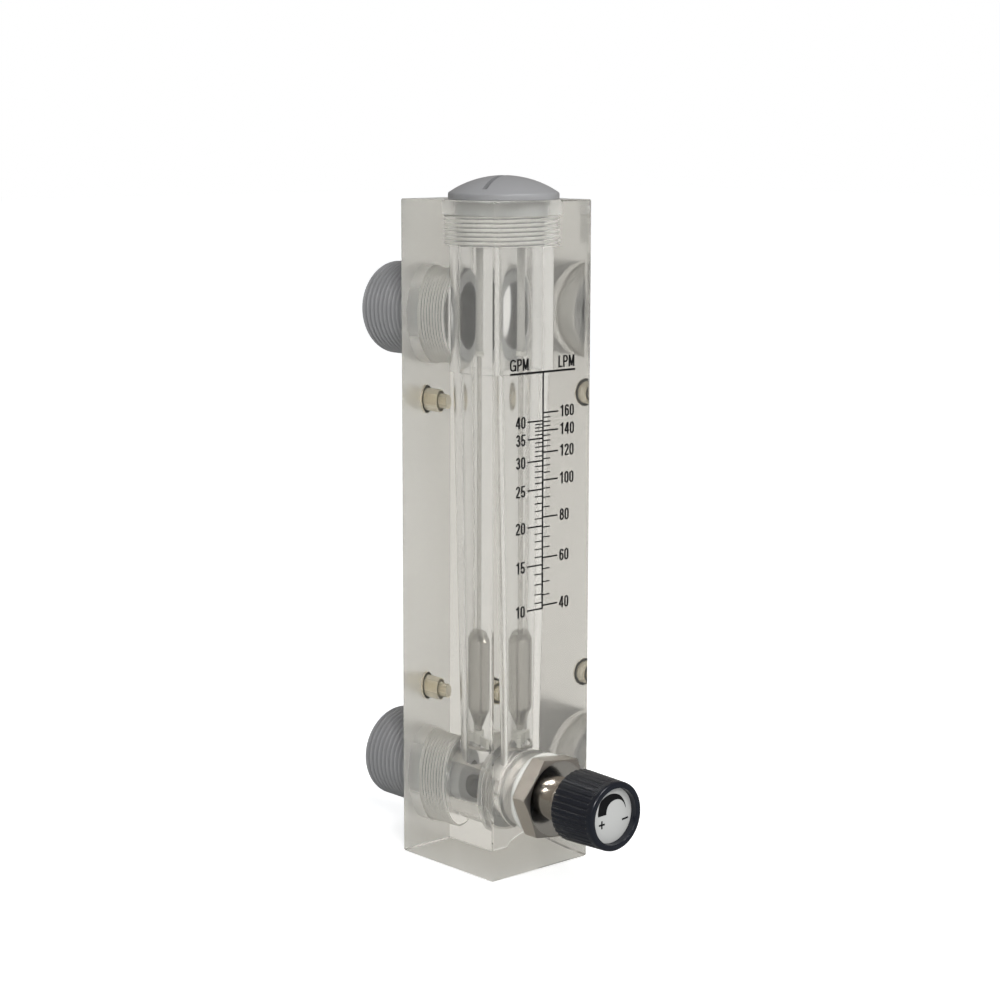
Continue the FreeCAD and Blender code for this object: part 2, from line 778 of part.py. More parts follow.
def valve_stem(doc):
    """Stem with a swivel head inside and a flatted end for the knob."""
    body = new_body(doc, "valve_stem", ON_INLET)
    head = "pocket_floor_y - stem_play"
    points = [
        ("0", head),
        ("stem_head_radius", head),
        ("stem_head_radius", head + " - stem_head_height"),
        ("stem_radius", head + " - stem_head_height"),
        ("stem_radius", "hub_back_y"),
        ("stem_end_radius", "hub_back_y"),
        ("stem_end_radius", "stem_end_y"),
        ("0", "stem_end_y"),
    ]
    revolve(body, "stem_turning", LEVEL, points)

    def draw(sketch):
        wide = "stem_end_radius + cut_margin"
        corners = [("stem_flat", "-" + wide), (wide, "-" + wide), (wide, wide), ("stem_flat", wide)]
        draw_outline(sketch, corners)

    pocket(doc, body, "stem_end_flat", UPRIGHT, draw, "stem_end_length", offset="-stem_end_y")
    return body


def valve_disc(doc):
    """The plate that closes on the seat: a groove for the seal and a pocket for the stem's head."""
    points = [
        ("0", "pocket_floor_y"),
        ("stem_head_radius + stem_play", "pocket_floor_y"),
        ("stem_head_radius + stem_play", "disc_back_y"),
        ("disc_radius", "disc_back_y"),
        ("disc_radius", "disc_front_y"),
        ("disc_boss_radius + seal_width", "disc_front_y"),
        ("disc_boss_radius + seal_width", "seal_floor_y"),
        ("disc_boss_radius", "seal_floor_y"),
        ("disc_boss_radius", "disc_front_y"),
        ("0", "disc_front_y"),
    ]
    return turned(doc, "valve_disc", LEVEL, points, ON_INLET)


def knob(doc):
    """Fluted taper knob, hollow behind for the gland nut and recessed in front for its plate."""
    body = new_body(doc, "knob", ON_INLET)
    bush = "bush_radius + seat_gap"
    points = [
        (bush, "recess_floor_y"),
        ("knob_recess_radius", "recess_floor_y"),
        ("knob_recess_radius", "knob_front_y"),
        ("knob_front_radius - knob_edge", "knob_front_y"),
        ("knob_front_radius", "knob_front_y + knob_edge"),
        ("knob_radius", "knob_back_y - knob_back_edge"),
        ("knob_radius - knob_back_edge", "knob_back_y"),
        ("knob_skirt_radius", "knob_back_y"),
        ("knob_skirt_radius", "hub_back_y"),
        (bush, "hub_back_y"),
    ]
    revolve(body, "knob_turning", LEVEL, points)

    flute_points = [
        ("knob_radius - flute_depth", "0"),
        ("knob_radius + flute_depth", "-flute_width"),
        ("knob_radius + flute_depth", "flute_width"),
    ]

    length = "knob_back_y - knob_front_y - knob_band"
    taper = ("knob_draft", "knob_back_y - knob_front_y")
    flute = pocket(doc, body, "flute", UPRIGHT, lambda sketch: draw_outline(sketch, flute_points),
                   length, offset="-knob_back_y", reverse=True, lean=taper)
    flutes = body.newObject("PartDesign::PolarPattern", "flutes")
    flutes.Originals = [flute]
    flutes.Axis = (origin_plane(body, "Y_Axis"), [""])
    flutes.Angle = 360.0
    bind(flutes, "Occurrences", "flute_count")
    body.Tip = flutes
    screw_hole(doc, body, "knob_radius")
    return body


def screw_hole(doc, body, reach):
    """The radial hole for the set screw, from the axis out to the given radius."""

    def draw(sketch):
        draw_circle(sketch, "screw_y", "0", "screw_radius + seat_gap")

    pocket(doc, body, "screw_hole", "YZ_Plane", draw, reach, reverse=True)


def knob_bush(doc):
    """The brass bush in the knob's hub."""
    body = new_body(doc, "knob_bush", ON_INLET)
    points = [
        ("stem_end_radius + seat_gap", "recess_floor_y + seat_gap"),
        ("bush_radius", "recess_floor_y + seat_gap"),
        ("bush_radius", "hub_back_y - seat_gap"),
        ("stem_end_radius + seat_gap", "hub_back_y - seat_gap"),
    ]
    revolve(body, "bush_turning", LEVEL, points)
    screw_hole(doc, body, "bush_radius + cut_margin")
    return body


def knob_screw(doc):
    """The set screw, with its socket, that bears on the stem's flat."""
    body = new_body(doc, "knob_screw", ("0", "screw_y", "inlet_z"))
    start = "stem_flat + seat_gap"
    end = "stem_flat + seat_gap + screw_length"
    points = [
        (start, "0"),
        (start, "screw_radius"),
        (end, "screw_radius"),
        (end, "screw_socket_radius"),
        (end + " - screw_socket_depth", "screw_socket_radius"),
        (end + " - screw_socket_depth", "0"),
    ]
    revolve(body, "screw_turning", LEVEL, points, axis="H_Axis")
    return body


def knob_plate(doc):
    """The round marked plate in the knob's recess."""
    points = [
        ("0", "recess_floor_y"),
        ("knob_recess_radius - seat_gap", "recess_floor_y"),
        ("knob_recess_radius - seat_gap", "recess_floor_y - plate_thickness"),
        ("0", "recess_floor_y - plate_thickness"),
    ]
    return turned(doc, "knob_plate", LEVEL, points, ON_INLET)


def build(doc):
    """All sub-parts, in the order in which the meter is put together."""
    parts = [block(doc), outlet_fitting(doc), inlet_fitting(doc), valve_seat(doc)]
    parts.append(port_seal(doc, "outlet_seal", ON_OUTLET))
    parts.append(port_seal(doc, "inlet_seal", ON_INLET))
    parts += [top_plug(doc), plug_seal(doc), guide_rod(doc)]
    parts.append(rod_ring(doc, "stop_sleeve", "sleeve_radius", "sleeve_foot_z", "plug_foot_z"))
    parts.append(rod_ring(doc, "stop_collar", "collar_radius", "collar_foot_z", "sleeve_foot_z"))
    parts += [lower_guide(doc), guide_clip(doc), float_piece(doc)]
    parts.append(mount_insert(doc, "lower_insert", "insert_low_z"))
    parts.append(mount_insert(doc, "upper_insert", "insert_high_z"))
    parts.append(valve_bonnet(doc))
    parts.append(bonnet_ring(doc, "bonnet_washer", "shank_radius + seat_gap",
                             "washer_radius", "hex_back_y", "front_y"))
    parts.append(bonnet_ring(doc, "bonnet_seal", "valve_chamber_radius", "relief_radius",
                             "relief_y + seat_gap", "shoulder_y"))
    parts.append(bonnet_ring(doc, "stem_packing", "stem_radius + stem_play",
                             "packing_radius - seat_gap", "packing_face_y", "packing_floor_y"))
    parts += [gland_nut(doc), valve_stem(doc), valve_disc(doc)]
    parts.append(bonnet_ring(doc, "disc_seal", "disc_boss_radius + seat_gap",
                             "disc_boss_radius + seal_width - seat_gap",
                             "seal_floor_y", "seal_face_y"))
    parts.append(bonnet_ring(doc, "disc_clip", "stem_radius + 2 * stem_play", "disc_clip_radius",
                             "disc_back_y - disc_clip_thickness", "disc_back_y"))
    parts += [knob(doc), knob_bush(doc), knob_screw(doc), knob_plate(doc)]
    return parts


def check(doc, parts):
    """Stops if any object failed or any sub-part isn't a valid solid."""
    for item in doc.Objects:
        if "Invalid" in item.State or "Error" in item.State:
            raise RuntimeError(item.Label + " failed: " + ", ".join(item.State))
    for item in parts:
        shape = item.Shape
        if shape.isNull() or not shape.isValid() or not shape.Solids:
            raise RuntimeError(item.Label + " has no valid solid")


def main():
    doc = FreeCAD.newDocument("rotameter")
    write_sheet(doc)
    parts = build(doc)
    doc.recompute()
    check(doc, parts)
    os.makedirs("parts", exist_ok=True)
    for item in parts:
        item.Shape.exportStep("parts/%s.step" % item.Label)
        box = item.Shape.BoundBox
        print("%-15s volume %9.1f  x %7.2f %7.2f  y %7.2f %7.2f  z %7.2f %7.2f" % (
            item.Label, item.Shape.Volume, box.XMin, box.XMax, box.YMin, box.YMax, box.ZMin, box.ZMax))


main()
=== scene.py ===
import math

import bmesh
import bpy
from mathutils import Matrix, Vector


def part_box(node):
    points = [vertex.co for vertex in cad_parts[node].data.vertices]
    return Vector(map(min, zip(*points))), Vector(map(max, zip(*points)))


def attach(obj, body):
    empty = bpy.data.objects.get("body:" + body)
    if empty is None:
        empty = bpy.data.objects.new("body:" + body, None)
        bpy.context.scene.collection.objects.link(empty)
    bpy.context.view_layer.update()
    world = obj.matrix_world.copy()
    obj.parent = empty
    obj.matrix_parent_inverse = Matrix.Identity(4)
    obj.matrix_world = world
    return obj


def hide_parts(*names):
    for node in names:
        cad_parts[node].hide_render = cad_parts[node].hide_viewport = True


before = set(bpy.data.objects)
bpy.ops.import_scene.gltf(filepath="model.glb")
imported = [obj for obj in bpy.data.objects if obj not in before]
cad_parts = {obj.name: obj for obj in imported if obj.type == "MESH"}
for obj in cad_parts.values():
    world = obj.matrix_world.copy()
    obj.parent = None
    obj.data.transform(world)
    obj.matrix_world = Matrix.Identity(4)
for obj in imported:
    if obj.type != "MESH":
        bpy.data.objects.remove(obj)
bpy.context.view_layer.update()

# The looks of a clear acrylic panel flow meter, built round its frame.
# Shapes are worked out in millimetres and turned into metres when a piece is finished.

MM = 0.001


def span(node):
    """Lowest and highest corner of a frame node, in millimetres."""
    low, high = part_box(node)
    return low / MM, high / MM


# Places read from the frame
BLOCK_LOW, BLOCK_HIGH = span("body_block")
FRONT, BACK, TOP = BLOCK_LOW.y, BLOCK_HIGH.y, BLOCK_HIGH.z
ROD_LOW, ROD_HIGH = span("guide_rod")
TUBE_Y = (ROD_LOW.y + ROD_HIGH.y) / 2
INLET_LOW, INLET_HIGH = span("inlet_fitting")
OUTLET_LOW, OUTLET_HIGH = span("outlet_fitting")
INLET_Z = (INLET_LOW.z + INLET_HIGH.z) / 2
OUTLET_Z = (OUTLET_LOW.z + OUTLET_HIGH.z) / 2
PLUG_LOW, PLUG_HIGH = span("top_plug")
SEAL_LOW, SEAL_HIGH = span("plug_seal")
PORT_SEAL_LOW, PORT_SEAL_HIGH = span("outlet_seal")
HEX_LOW, HEX_HIGH = span("valve_bonnet")
WASHER_LOW, WASHER_HIGH = span("bonnet_washer")
RING_LOW, RING_HIGH = span("bonnet_seal")
GLAND_LOW, GLAND_HIGH = span("gland_nut")
STEM_LOW, STEM_HIGH = span("valve_stem")
KNOB_LOW, KNOB_HIGH = span("knob")
PLATE_LOW, PLATE_HIGH = span("knob_plate")
BUSH_HIGH = span("knob_bush")[1]
FLOAT_LOW, FLOAT_HIGH = span("float")
SLEEVE_LOW, SLEEVE_HIGH = span("stop_sleeve")
COLLAR_LOW, COLLAR_HIGH = span("stop_collar")
GUIDE_LOW, GUIDE_HIGH = span("lower_guide")
CLIP_LOW, CLIP_HIGH = span("guide_clip")
INSERT_LOW, INSERT_HIGH = span("lower_insert")
UPPER_INSERT_LOW, UPPER_INSERT_HIGH = span("upper_insert")

# Radii and lengths inside the block
GAP = 0.05
TUBE_FOOT_RADIUS = CLIP_HIGH.x
TUBE_FOOT_Z = 46.0
TUBE_TOP_RADIUS = 11.7
TUBE_TOP_DROP = 18.5
TUBE_TOP_Z = OUTLET_Z - TUBE_TOP_DROP
CHAMBER_RADIUS = 13.5
SEAL_STEP = 0.8
PLUG_SOCKET_RADIUS = SEAL_HIGH.x - SEAL_STEP
PORT_SOCKET_RADIUS = PORT_SEAL_HIGH.x - SEAL_STEP
PORT_MOUTH_RADIUS = PORT_SEAL_HIGH.x
PORT_FLOOR = OUTLET_LOW.y - GAP
PORT_MOUTH = PORT_SEAL_LOW.y
VALVE_CHAMBER_RADIUS = 12.3
SHOULDER = RING_HIGH.y
RELIEF = RING_LOW.y - GAP
RELIEF_RADIUS = RING_HIGH.x
RELIEF_STEP = 1.1
BONNET_HOLE_RADIUS = RELIEF_RADIUS - RELIEF_STEP
INSERT_RADIUS = 4.0
INSERT_FLANGE = 0.8
INSERT_DRILL_RADIUS = 2.5
INSERT_DRILL_DEPTH = 12.0
EDGE_FLAT = 0.45

# Threads
FINE_PITCH = 1.5
FINE_DEPTH = 0.88
PIPE_PITCH = 25.4 / 11
PIPE_DEPTH = 0.64 * PIPE_PITCH
THREAD_GAP = 0.16
FINE_FORM = ((0.0, 0.0), (0.2, 0.0), (0.48, 1.0), (0.6, 1.0), (0.72, 0.57), (0.88, 0.0))
PIPE_ROWS = 12
PIPE_FLATNESS = 1.3
THREAD_LEAD = 0.9
THREAD_CLEAR = 0.2
THREAD_CORE = FINE_DEPTH + 0.1
ROUND = 128
OVER = 1.0
# Lengths that count as none, in millimetres for the first two and in metres for the last
ON_AXIS = 1e-6
SAME_POINT = 1e-4
SAME_CORNER = 1e-8

# Ways in which a shape made upright is put in place
UPTURN = Matrix(((1, 0, 0, 0), (0, 0, 1, 0), (0, -1, 0, 0), (0, 0, 0, 1)))
ON_TUBE = Matrix.Translation((0, TUBE_Y, 0))


def on_level(height):
    """Turns a shape about an axis along Y at that height."""
    return Matrix.Translation((0, 0, height)) @ UPTURN


ON_VALVE = on_level(INLET_Z)


# Shapes

def solid(name, points, faces, place=None):
    """A mesh object in millimetres, with its faces turned outwards."""
    mesh = bpy.data.meshes.new(name)
    mesh.from_pydata([tuple(point) for point in points], [], faces)
    shape = bmesh.new()
    shape.from_mesh(mesh)
    bmesh.ops.recalc_face_normals(shape, faces=shape.faces)
    shape.to_mesh(mesh)
    shape.free()
    if place is not None:
        mesh.transform(place)
    thing = bpy.data.objects.new(name, mesh)
    bpy.context.scene.collection.objects.link(thing)
    return thing


def eased(profile, steps=4):
    """The profile with a curve at each corner that gives a third number, its reach."""
    points = []
    for index, corner in enumerate(profile):
        here = Vector(corner[:2])
        if len(corner) < 3:
            points.append(here)
            continue
        ends = []
        for other in (profile[index - 1], profile[(index + 1) % len(profile)]):
            way = Vector(other[:2]) - here
            ends.append(here + way.normalized() * min(corner[2], way.length / 2))
        for step in range(steps + 1):
            share = step / steps
            points.append(ends[0] * (1 - share) ** 2 + here * 2 * share * (1 - share)
                          + ends[1] * share ** 2)
    return points


def bands(rings):
    """The faces between each ring of corners and the next, and from the last to the first."""
    faces = []
    for low, high in zip(rings, rings[1:] + rings[:1]):
        for step in range(len(low)):
            ahead = (step + 1) % len(low)
            corners = [low[step], low[ahead], high[ahead], high[step]]
            kept = [corner for number, corner in enumerate(corners) if corner != corners[number - 1]]
            if len(kept) > 2:
                faces.append(kept)
    return faces


def turned(name, profile, place, segments=ROUND):
    """The closed profile of (radius, height) corners turned once round the axis."""
    points, rings = [], []
    for radius, height in eased(profile):
        first = len(points)
        if radius < ON_AXIS:
            points.append((0, 0, height))
            rings.append([first] * segments)
            continue
        for step in range(segments):
            angle = math.tau * step / segments
            points.append((radius * math.cos(angle), radius * math.sin(angle), height))
        rings.append(list(range(first, first + segments)))
    return solid(name, points, bands(rings), place)


def pipe_form():
    """Rows of a thread with round crests and roots."""
    rows = []
    for row in range(PIPE_ROWS):
        share = row / PIPE_ROWS
        wave = math.sin(math.tau * share)
        rows.append((share, 0.5 + 0.5 * math.tanh(PIPE_FLATNESS * wave) / math.tanh(PIPE_FLATNESS)))
    return rows


def thread(name, crest, depth, pitch, start, end, form, place):
    """A right-hand threaded rod that reaches past start and end; a turned shape trims it."""
    turns = range(math.floor(start / pitch) - 2, math.ceil(end / pitch) + 2)
    rows = [(turn + share, height) for turn in turns for share, height in form]
    per_turn, total, root = len(form), len(rows), crest - depth
    points = []

    def add(row, step):
        turn, height = rows[row]
        angle = math.tau * step / ROUND
        radius, level = root + depth * height, (turn + step / ROUND) * pitch
        points.append((radius * math.cos(angle), radius * math.sin(angle), level))
        return len(points) - 1

    grid = [[add(row, step) for step in range(ROUND)] for row in range(total)]
    seam = []
    for row in range(total):
        onward = row + per_turn
        seam.append(grid[onward][0] if onward < total else add(row, ROUND))
    for row in range(total):
        grid[row].append(seam[row])
    faces = []
    for low, high in zip(grid, grid[1:]):
        for step in range(ROUND):
            faces.append([low[step], low[step + 1], high[step + 1], high[step]])
    low_rim = grid[0][:-1] + [grid[row][0] for row in range(per_turn, 0, -1)]
    high_rim = grid[-1][:] + [seam[row] for row in range(total - 2, total - 1 - per_turn, -1)]
    for rim, level in ((low_rim, points[grid[0][0]][2]), (high_rim, points[grid[-1][-1]][2])):
        points.append((0, 0, level))
        hub = len(points) - 1
        for index, corner in enumerate(rim):
            faces.append([hub, corner, rim[(index + 1) % len(rim)]])
    return solid(name, points, faces, place)


def combine(base, tool, operation):
    """Base joined with, cut by or trimmed to the tool, which is used up."""
    modifier = base.modifiers.new("combine", "BOOLEAN")
    modifier.operation = operation
    modifier.solver = "MANIFOLD"
    modifier.object = tool
    graph = bpy.context.evaluated_depsgraph_get()
    mesh = bpy.data.meshes.new_from_object(base.evaluated_get(graph))
    base.modifiers.clear()
    spent = [base.data, tool.data]
    base.data = mesh
    bpy.data.objects.remove(tool)
    for old in spent:
        bpy.data.meshes.remove(old)
    if not mesh.polygons:
        raise RuntimeError("nothing is left of " + base.name)
    return base


def filled(name, corners, place, segments=ROUND):
    """A turned shape that is solid to its axis; the corners are those off the axis."""
    return turned(name, [(0, corners[0][1]), *corners, (0, corners[-1][1])], place, segments)


def threaded(name, crest, depth, pitch, corners, form, place):
    """A thread trimmed to a turned shape, which also gives its ends."""
    levels = [corner[1] for corner in corners]
    rod = thread(name, crest, depth, pitch, min(levels), max(levels), form, place)
    return combine(rod, filled("trim", corners, place), "INTERSECT")


def fine_shank(radius, start, end, place):
    """A fine thread for a socket of that radius, with a bevel where it starts."""
    return threaded("shank", radius - THREAD_GAP, FINE_DEPTH, FINE_PITCH, [
        (radius - THREAD_LEAD, start),
        (radius + THREAD_CLEAR, start + THREAD_LEAD),
        (radius + THREAD_CLEAR, end),
    ], FINE_FORM, place)


def bar_solid(name, width, length, height, place=None):
    """A straight bar, centred on its width; length and height give its two ends each."""
    points = [(x, y, z) for z in height for y in (-width / 2, width / 2) for x in length]
    faces = [(0, 1, 3, 2), (4, 5, 7, 6), (0, 1, 5, 4), (2, 3, 7, 6), (0, 2, 6, 4), (1, 3, 7, 5)]
    return solid(name, points, faces, place)


def ease_edges(piece, width, steps, test):
    """Puts narrow flats along the edges whose two ends pass."""
    shape = bmesh.new()
    shape.from_mesh(piece.data)
    edges = [edge for edge in shape.edges if test(edge.verts[0].co, edge.verts[1].co)]
    bmesh.ops.bevel(shape, geom=edges, offset=width, segments=steps, affect="EDGES")
    shape.to_mesh(piece.data)
    shape.free()


def finish(piece, name, materials, body, node, sharp=32.0):
    """Names the piece, scales it to metres, shades it and ties it to the frame."""
    piece.name = name
    piece.data.name = name
    piece.data.transform(Matrix.Scale(MM, 4))
    shape = bmesh.new()
    shape.from_mesh(piece.data)
    bmesh.ops.remove_doubles(shape, verts=shape.verts, dist=SAME_CORNER)
    limit = math.radians(sharp)
    for face in shape.faces:
        face.smooth = True
    for edge in shape.edges:
        edge.smooth = len(edge.link_faces) == 2 and edge.calc_face_angle() < limit
    shape.to_mesh(piece.data)
    shape.free()
    piece.data.materials.clear()
    for material in materials:
        piece.data.materials.append(material)
    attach(piece, body)
    if node:
        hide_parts(node)
    return piece


def assign(piece, index, test):
    """Gives material number index to the faces whose middle and normal, in millimetres, pass."""
    for polygon in piece.data.polygons:
        if test(polygon.center / MM, polygon.normal):
            polygon.material_index = index


# Materials

class Recipe:
    """The node tree of a material or of the world, with short calls for what it uses."""

    def __init__(self, owner, output="OutputMaterial"):
        owner.use_nodes = True
        self.owner = owner
        self.tree = owner.node_tree
        self.tree.nodes.clear()
        self.output = self.node(output)

    def feed(self, socket, value):
        """Gives a socket what another node puts out, or else a plain value."""
        if isinstance(value, bpy.types.NodeSocket):
            self.tree.links.new(value, socket)
        else:
            socket.default_value = value

    def node(self, kind, *fed, **values):
        """A node with its settings, its named sockets and then its first sockets in order."""
        made = self.tree.nodes.new("ShaderNode" + kind)
        for key, value in values.items():
            label = key.replace("_", " ")
            if label in made.inputs:
                self.feed(made.inputs[label], value)
            else:
                setattr(made, key, value)
        for socket, value in zip(made.inputs, fed):
            self.feed(socket, value)
        return made

    def surface(self, shader):
        self.feed(self.output.inputs["Surface"], shader)
        return self.owner

    def math(self, operation, first, second):
        return self.node("Math", first, second, operation=operation).outputs[0]

    def diffuse(self, color):
        return self.node("BsdfDiffuse", Color=color).outputs[0]

    def blend(self, share, first, second):
        """Share of the second shader over the first; the share is a number or an output."""
        return self.node("MixShader", share, first, second).outputs[0]

    def by_ray(self, plain, glossy, transmitted, seen):
        """The surface or world, with a shader of its own for three kinds of ray."""
        rays = self.node("LightPath").outputs
        glossy_too = self.blend(rays["Is Glossy Ray"], plain, glossy)
        glass_too = self.blend(rays["Is Transmission Ray"], glossy_too, transmitted)
        return self.surface(self.blend(rays["Is Camera Ray"], glass_too, seen))

    def noise(self, scale, detail=3.0, roughness=0.5, stretch=(1, 1, 1)):
        place = self.node("TexCoord").outputs["Object"]
        if stretch != (1, 1, 1):
            place = self.node("Mapping", Scale=stretch, Vector=place).outputs["Vector"]
        noise = self.node("TexNoise", Scale=scale, Detail=detail, Roughness=roughness, Vector=place)
        return noise.outputs["Fac"]

    def spread(self, value, low, high):
        """The value from 0 to 1 carried over to the range from low to high."""
        return self.node("MapRange", Value=value, To_Min=low, To_Max=high).outputs["Result"]

    def mix(self, value, first, second):
        mixed = self.node("Mix", value, data_type="RGBA")
        mixed.inputs[6].default_value = (*first, 1)
        mixed.inputs[7].default_value = (*second, 1)
        return mixed.outputs[2]

    def principled(self, color, roughness, **more):
        return self.node("BsdfPrincipled", Base_Color=(*color, 1), Roughness=roughness, **more)

    def varied(self, shader, color, roughness, height, strength, distance):
        """The finished surface, with the plain values of its shader varied."""
        bumped = self.node("Bump", Strength=strength, Distance=distance, Height=height)
        fed = {"Base Color": color, "Roughness": roughness, "Normal": bumped.outputs[0]}
        for label, value in fed.items():
            self.feed(shader.inputs[label], value)
        return self.surface(shader.outputs[0])


OUTER_TINT = (0.93, 0.925, 0.905)
INNER_TINT = (0.98, 0.98, 0.98)
FROST_WHITE = (0.90, 0.90, 0.88)
# Golden tint on the frost of the insert holes: painted light from the brass inserts behind it
FROST_PAINTED_BRASS_LIGHT = (0.98, 0.90, 0.68)
FROST_PASSING = 0.6
ABSORBED = (0.26, 0.18, 0.04, 1)
ABSORBING = 5.0
ACRYLIC_BENDING = 1.49
TUBE_BENDING = 1.4
TUBE_MILK = 0.45
# Each kind of wall: its roughness and its share of white, then 0 where light leaves the block,
# 1 inside it and 2 where the frost takes a golden tint as painted light from the brass behind it
POLISHED = (0.0, 0.06, 0.0)
SATIN = (0.3, 0.4, 0.0)
STANDING = (0.3, 0.8, 0.0)
DRILLED = (0.4, 0.66, 2.0)
TUBE_WALL = (0.16, 0.12, 1.0)
CLEAR_BORE = (0.0, 0.04, 1.0)
FROSTED = (0.35, 0.86, 1.0)
THREAD_CREST = (0.22, 0.25, 1.0)
PORT_COLLAR = (0.3, 0.42, 1.0)


def new_recipe(name):
    return Recipe(bpy.data.materials.new(name))


def acrylic(name):
    """Clear acrylic, whose walls are as rough and as white as the mesh says."""
    recipe = new_recipe(name)
    wall = recipe.node("Attribute", attribute_name="wall").outputs["Vector"]
    rough, white, kind = recipe.node("SeparateXYZ", wall).outputs
    polish = recipe.spread(recipe.noise(90.0, 4.0), 0.0, 0.012)
    glass = recipe.node("BsdfPrincipled", IOR=ACRYLIC_BENDING, Transmission_Weight=1.0,
                        Base_Color=recipe.mix(kind, OUTER_TINT, INNER_TINT),
                        Roughness=recipe.math("ADD", rough, polish))
    # Where the kind is 2 the frost is tinted golden as painted light from the brass
    brass_light_share = recipe.math("SUBTRACT", kind, 1.0)
    frost = recipe.diffuse(recipe.mix(brass_light_share, FROST_WHITE, FROST_PAINTED_BRASS_LIGHT))
    passing = recipe.node("BsdfTranslucent", Color=(*FROST_WHITE, 1)).outputs[0]
    outer = recipe.blend(FROST_PASSING, frost, passing)
    volume = recipe.node("VolumeAbsorption", Color=ABSORBED, Density=ABSORBING)
    recipe.feed(recipe.output.inputs["Volume"], volume.outputs["Volume"])
    return recipe.surface(recipe.blend(white, glass.outputs[0], recipe.blend(kind, outer, frost)))


def clear_tube(name):
    """Clear flexible tube."""
    recipe = new_recipe(name)
    glass = recipe.node("BsdfPrincipled", IOR=TUBE_BENDING, Base_Color=(0.93, 0.93, 0.90, 1),
                        Transmission_Weight=1.0,
                        Roughness=recipe.spread(recipe.noise(300.0), 0.05, 0.12))
    milk = recipe.diffuse((0.92, 0.92, 0.90, 1))
    return recipe.surface(recipe.blend(TUBE_MILK, glass.outputs[0], milk))


def plastic(name, color, shade, roughness, grain=900.0, strength=0.08, **more):
    """Moulded plastic with slight mottling and a fine skin."""
    recipe = new_recipe(name)
    shader = recipe.principled(color, roughness, **more)
    mottling = recipe.mix(recipe.noise(60.0, 4.0), color, shade)
    shine = recipe.spread(recipe.noise(220.0), roughness - 0.06, roughness + 0.08)
    return recipe.varied(shader, mottling, shine, recipe.noise(grain, 2.0), strength, 0.0001)


def metal(name, color, shade, roughness, stretch, anisotropic=0.0, tangent=None, strength=0.1):
    """Metal with tool marks: noise stretched along the way in which it was turned or drawn."""
    recipe = new_recipe(name)
    shader = recipe.principled(color, roughness, Metallic=1.0, Anisotropic=anisotropic)
    marks = recipe.noise(400.0, 3.0, 0.6, stretch)
    if tangent:
        way = recipe.node("Tangent", direction_type="RADIAL", axis=tangent)
        recipe.feed(shader.inputs["Tangent"], way.outputs["Tangent"])
    shine = recipe.spread(marks, roughness - 0.05, roughness + 0.07)
    return recipe.varied(shader, recipe.mix(marks, color, shade), shine, marks, strength, 0.00005)


ACRYLIC = acrylic("clear_acrylic")
CLEAR_TUBE = clear_tube("clear_tube")
GREY = plastic("grey_plastic", (0.285, 0.285, 0.29), (0.26, 0.26, 0.265), 0.42)
# Lighter copy of the grey plastic: painted light on the fittings' inner ends deep in the block
GREY_INSIDE_PAINTED_LIGHT = plastic("grey_plastic_inside_painted_light", (0.46, 0.47, 0.475), (0.43, 0.44, 0.445), 0.3)
# Near-black copy of the grey plastic: painted shade for the walls of the fittings' bores
GREY_BORE_PAINTED_SHADE = plastic("grey_plastic_bore_painted_shade", (0.06, 0.065, 0.075), (0.05, 0.055, 0.065), 0.35)
RUBBER = plastic("black_rubber", (0.02, 0.02, 0.022), (0.035, 0.035, 0.036), 0.5)
GREY_RUBBER = plastic("grey_rubber", (0.33, 0.37, 0.39), (0.30, 0.34, 0.36), 0.5)
NYLON = plastic("natural_nylon", (0.74, 0.74, 0.70), (0.68, 0.68, 0.64), 0.4)
PTFE = plastic("white_packing", (0.80, 0.80, 0.79), (0.74, 0.74, 0.73), 0.5)
KNOB_BLACK = plastic("knob_plastic", (0.003, 0.005, 0.010), (0.005, 0.007, 0.014), 0.22, strength=0.02)
PLATE_WHITE = plastic("knob_plate", (0.45, 0.455, 0.445), (0.49, 0.49, 0.475), 0.4)
INK = plastic("black_ink", (0.004, 0.004, 0.005), (0.007, 0.007, 0.008), 0.6, Specular_IOR_Level=0.15)
STEEL = metal("turned_steel", (0.44, 0.425, 0.39), (0.38, 0.37, 0.345), 0.24, (1, 1, 30))
STEEL_ROD = metal("drawn_steel", (0.62, 0.61, 0.59), (0.55, 0.54, 0.52), 0.12, (30, 30, 1))
STEM_STEEL = metal("stem_steel", (0.62, 0.61, 0.59), (0.55, 0.54, 0.52), 0.2, (1, 30, 1))
NICKEL = metal("nickel_flats", (0.53, 0.493, 0.45), (0.50, 0.465, 0.425), 0.3, (6, 1, 6), strength=0.05)
NICKEL_TURNED = metal("nickel_turned", (0.70, 0.665, 0.61), (0.62, 0.585, 0.54), 0.13, (1, 30, 1),
                      0.5, "Y", strength=0.05)
BRASS = metal("machined_brass", (0.80, 0.62, 0.30), (0.70, 0.52, 0.24), 0.28, (1, 30, 1))


# The block

def block_blank():
    """The sawn and polished slab, with a narrow flat along every edge."""
    depth, length, height = BACK - FRONT, (BLOCK_LOW.x, BLOCK_HIGH.x), (BLOCK_LOW.z, TOP)
    blank = bar_solid("blank", depth, length, height)
    ease_edges(blank, EDGE_FLAT, 1, lambda start, end: True)
    return blank


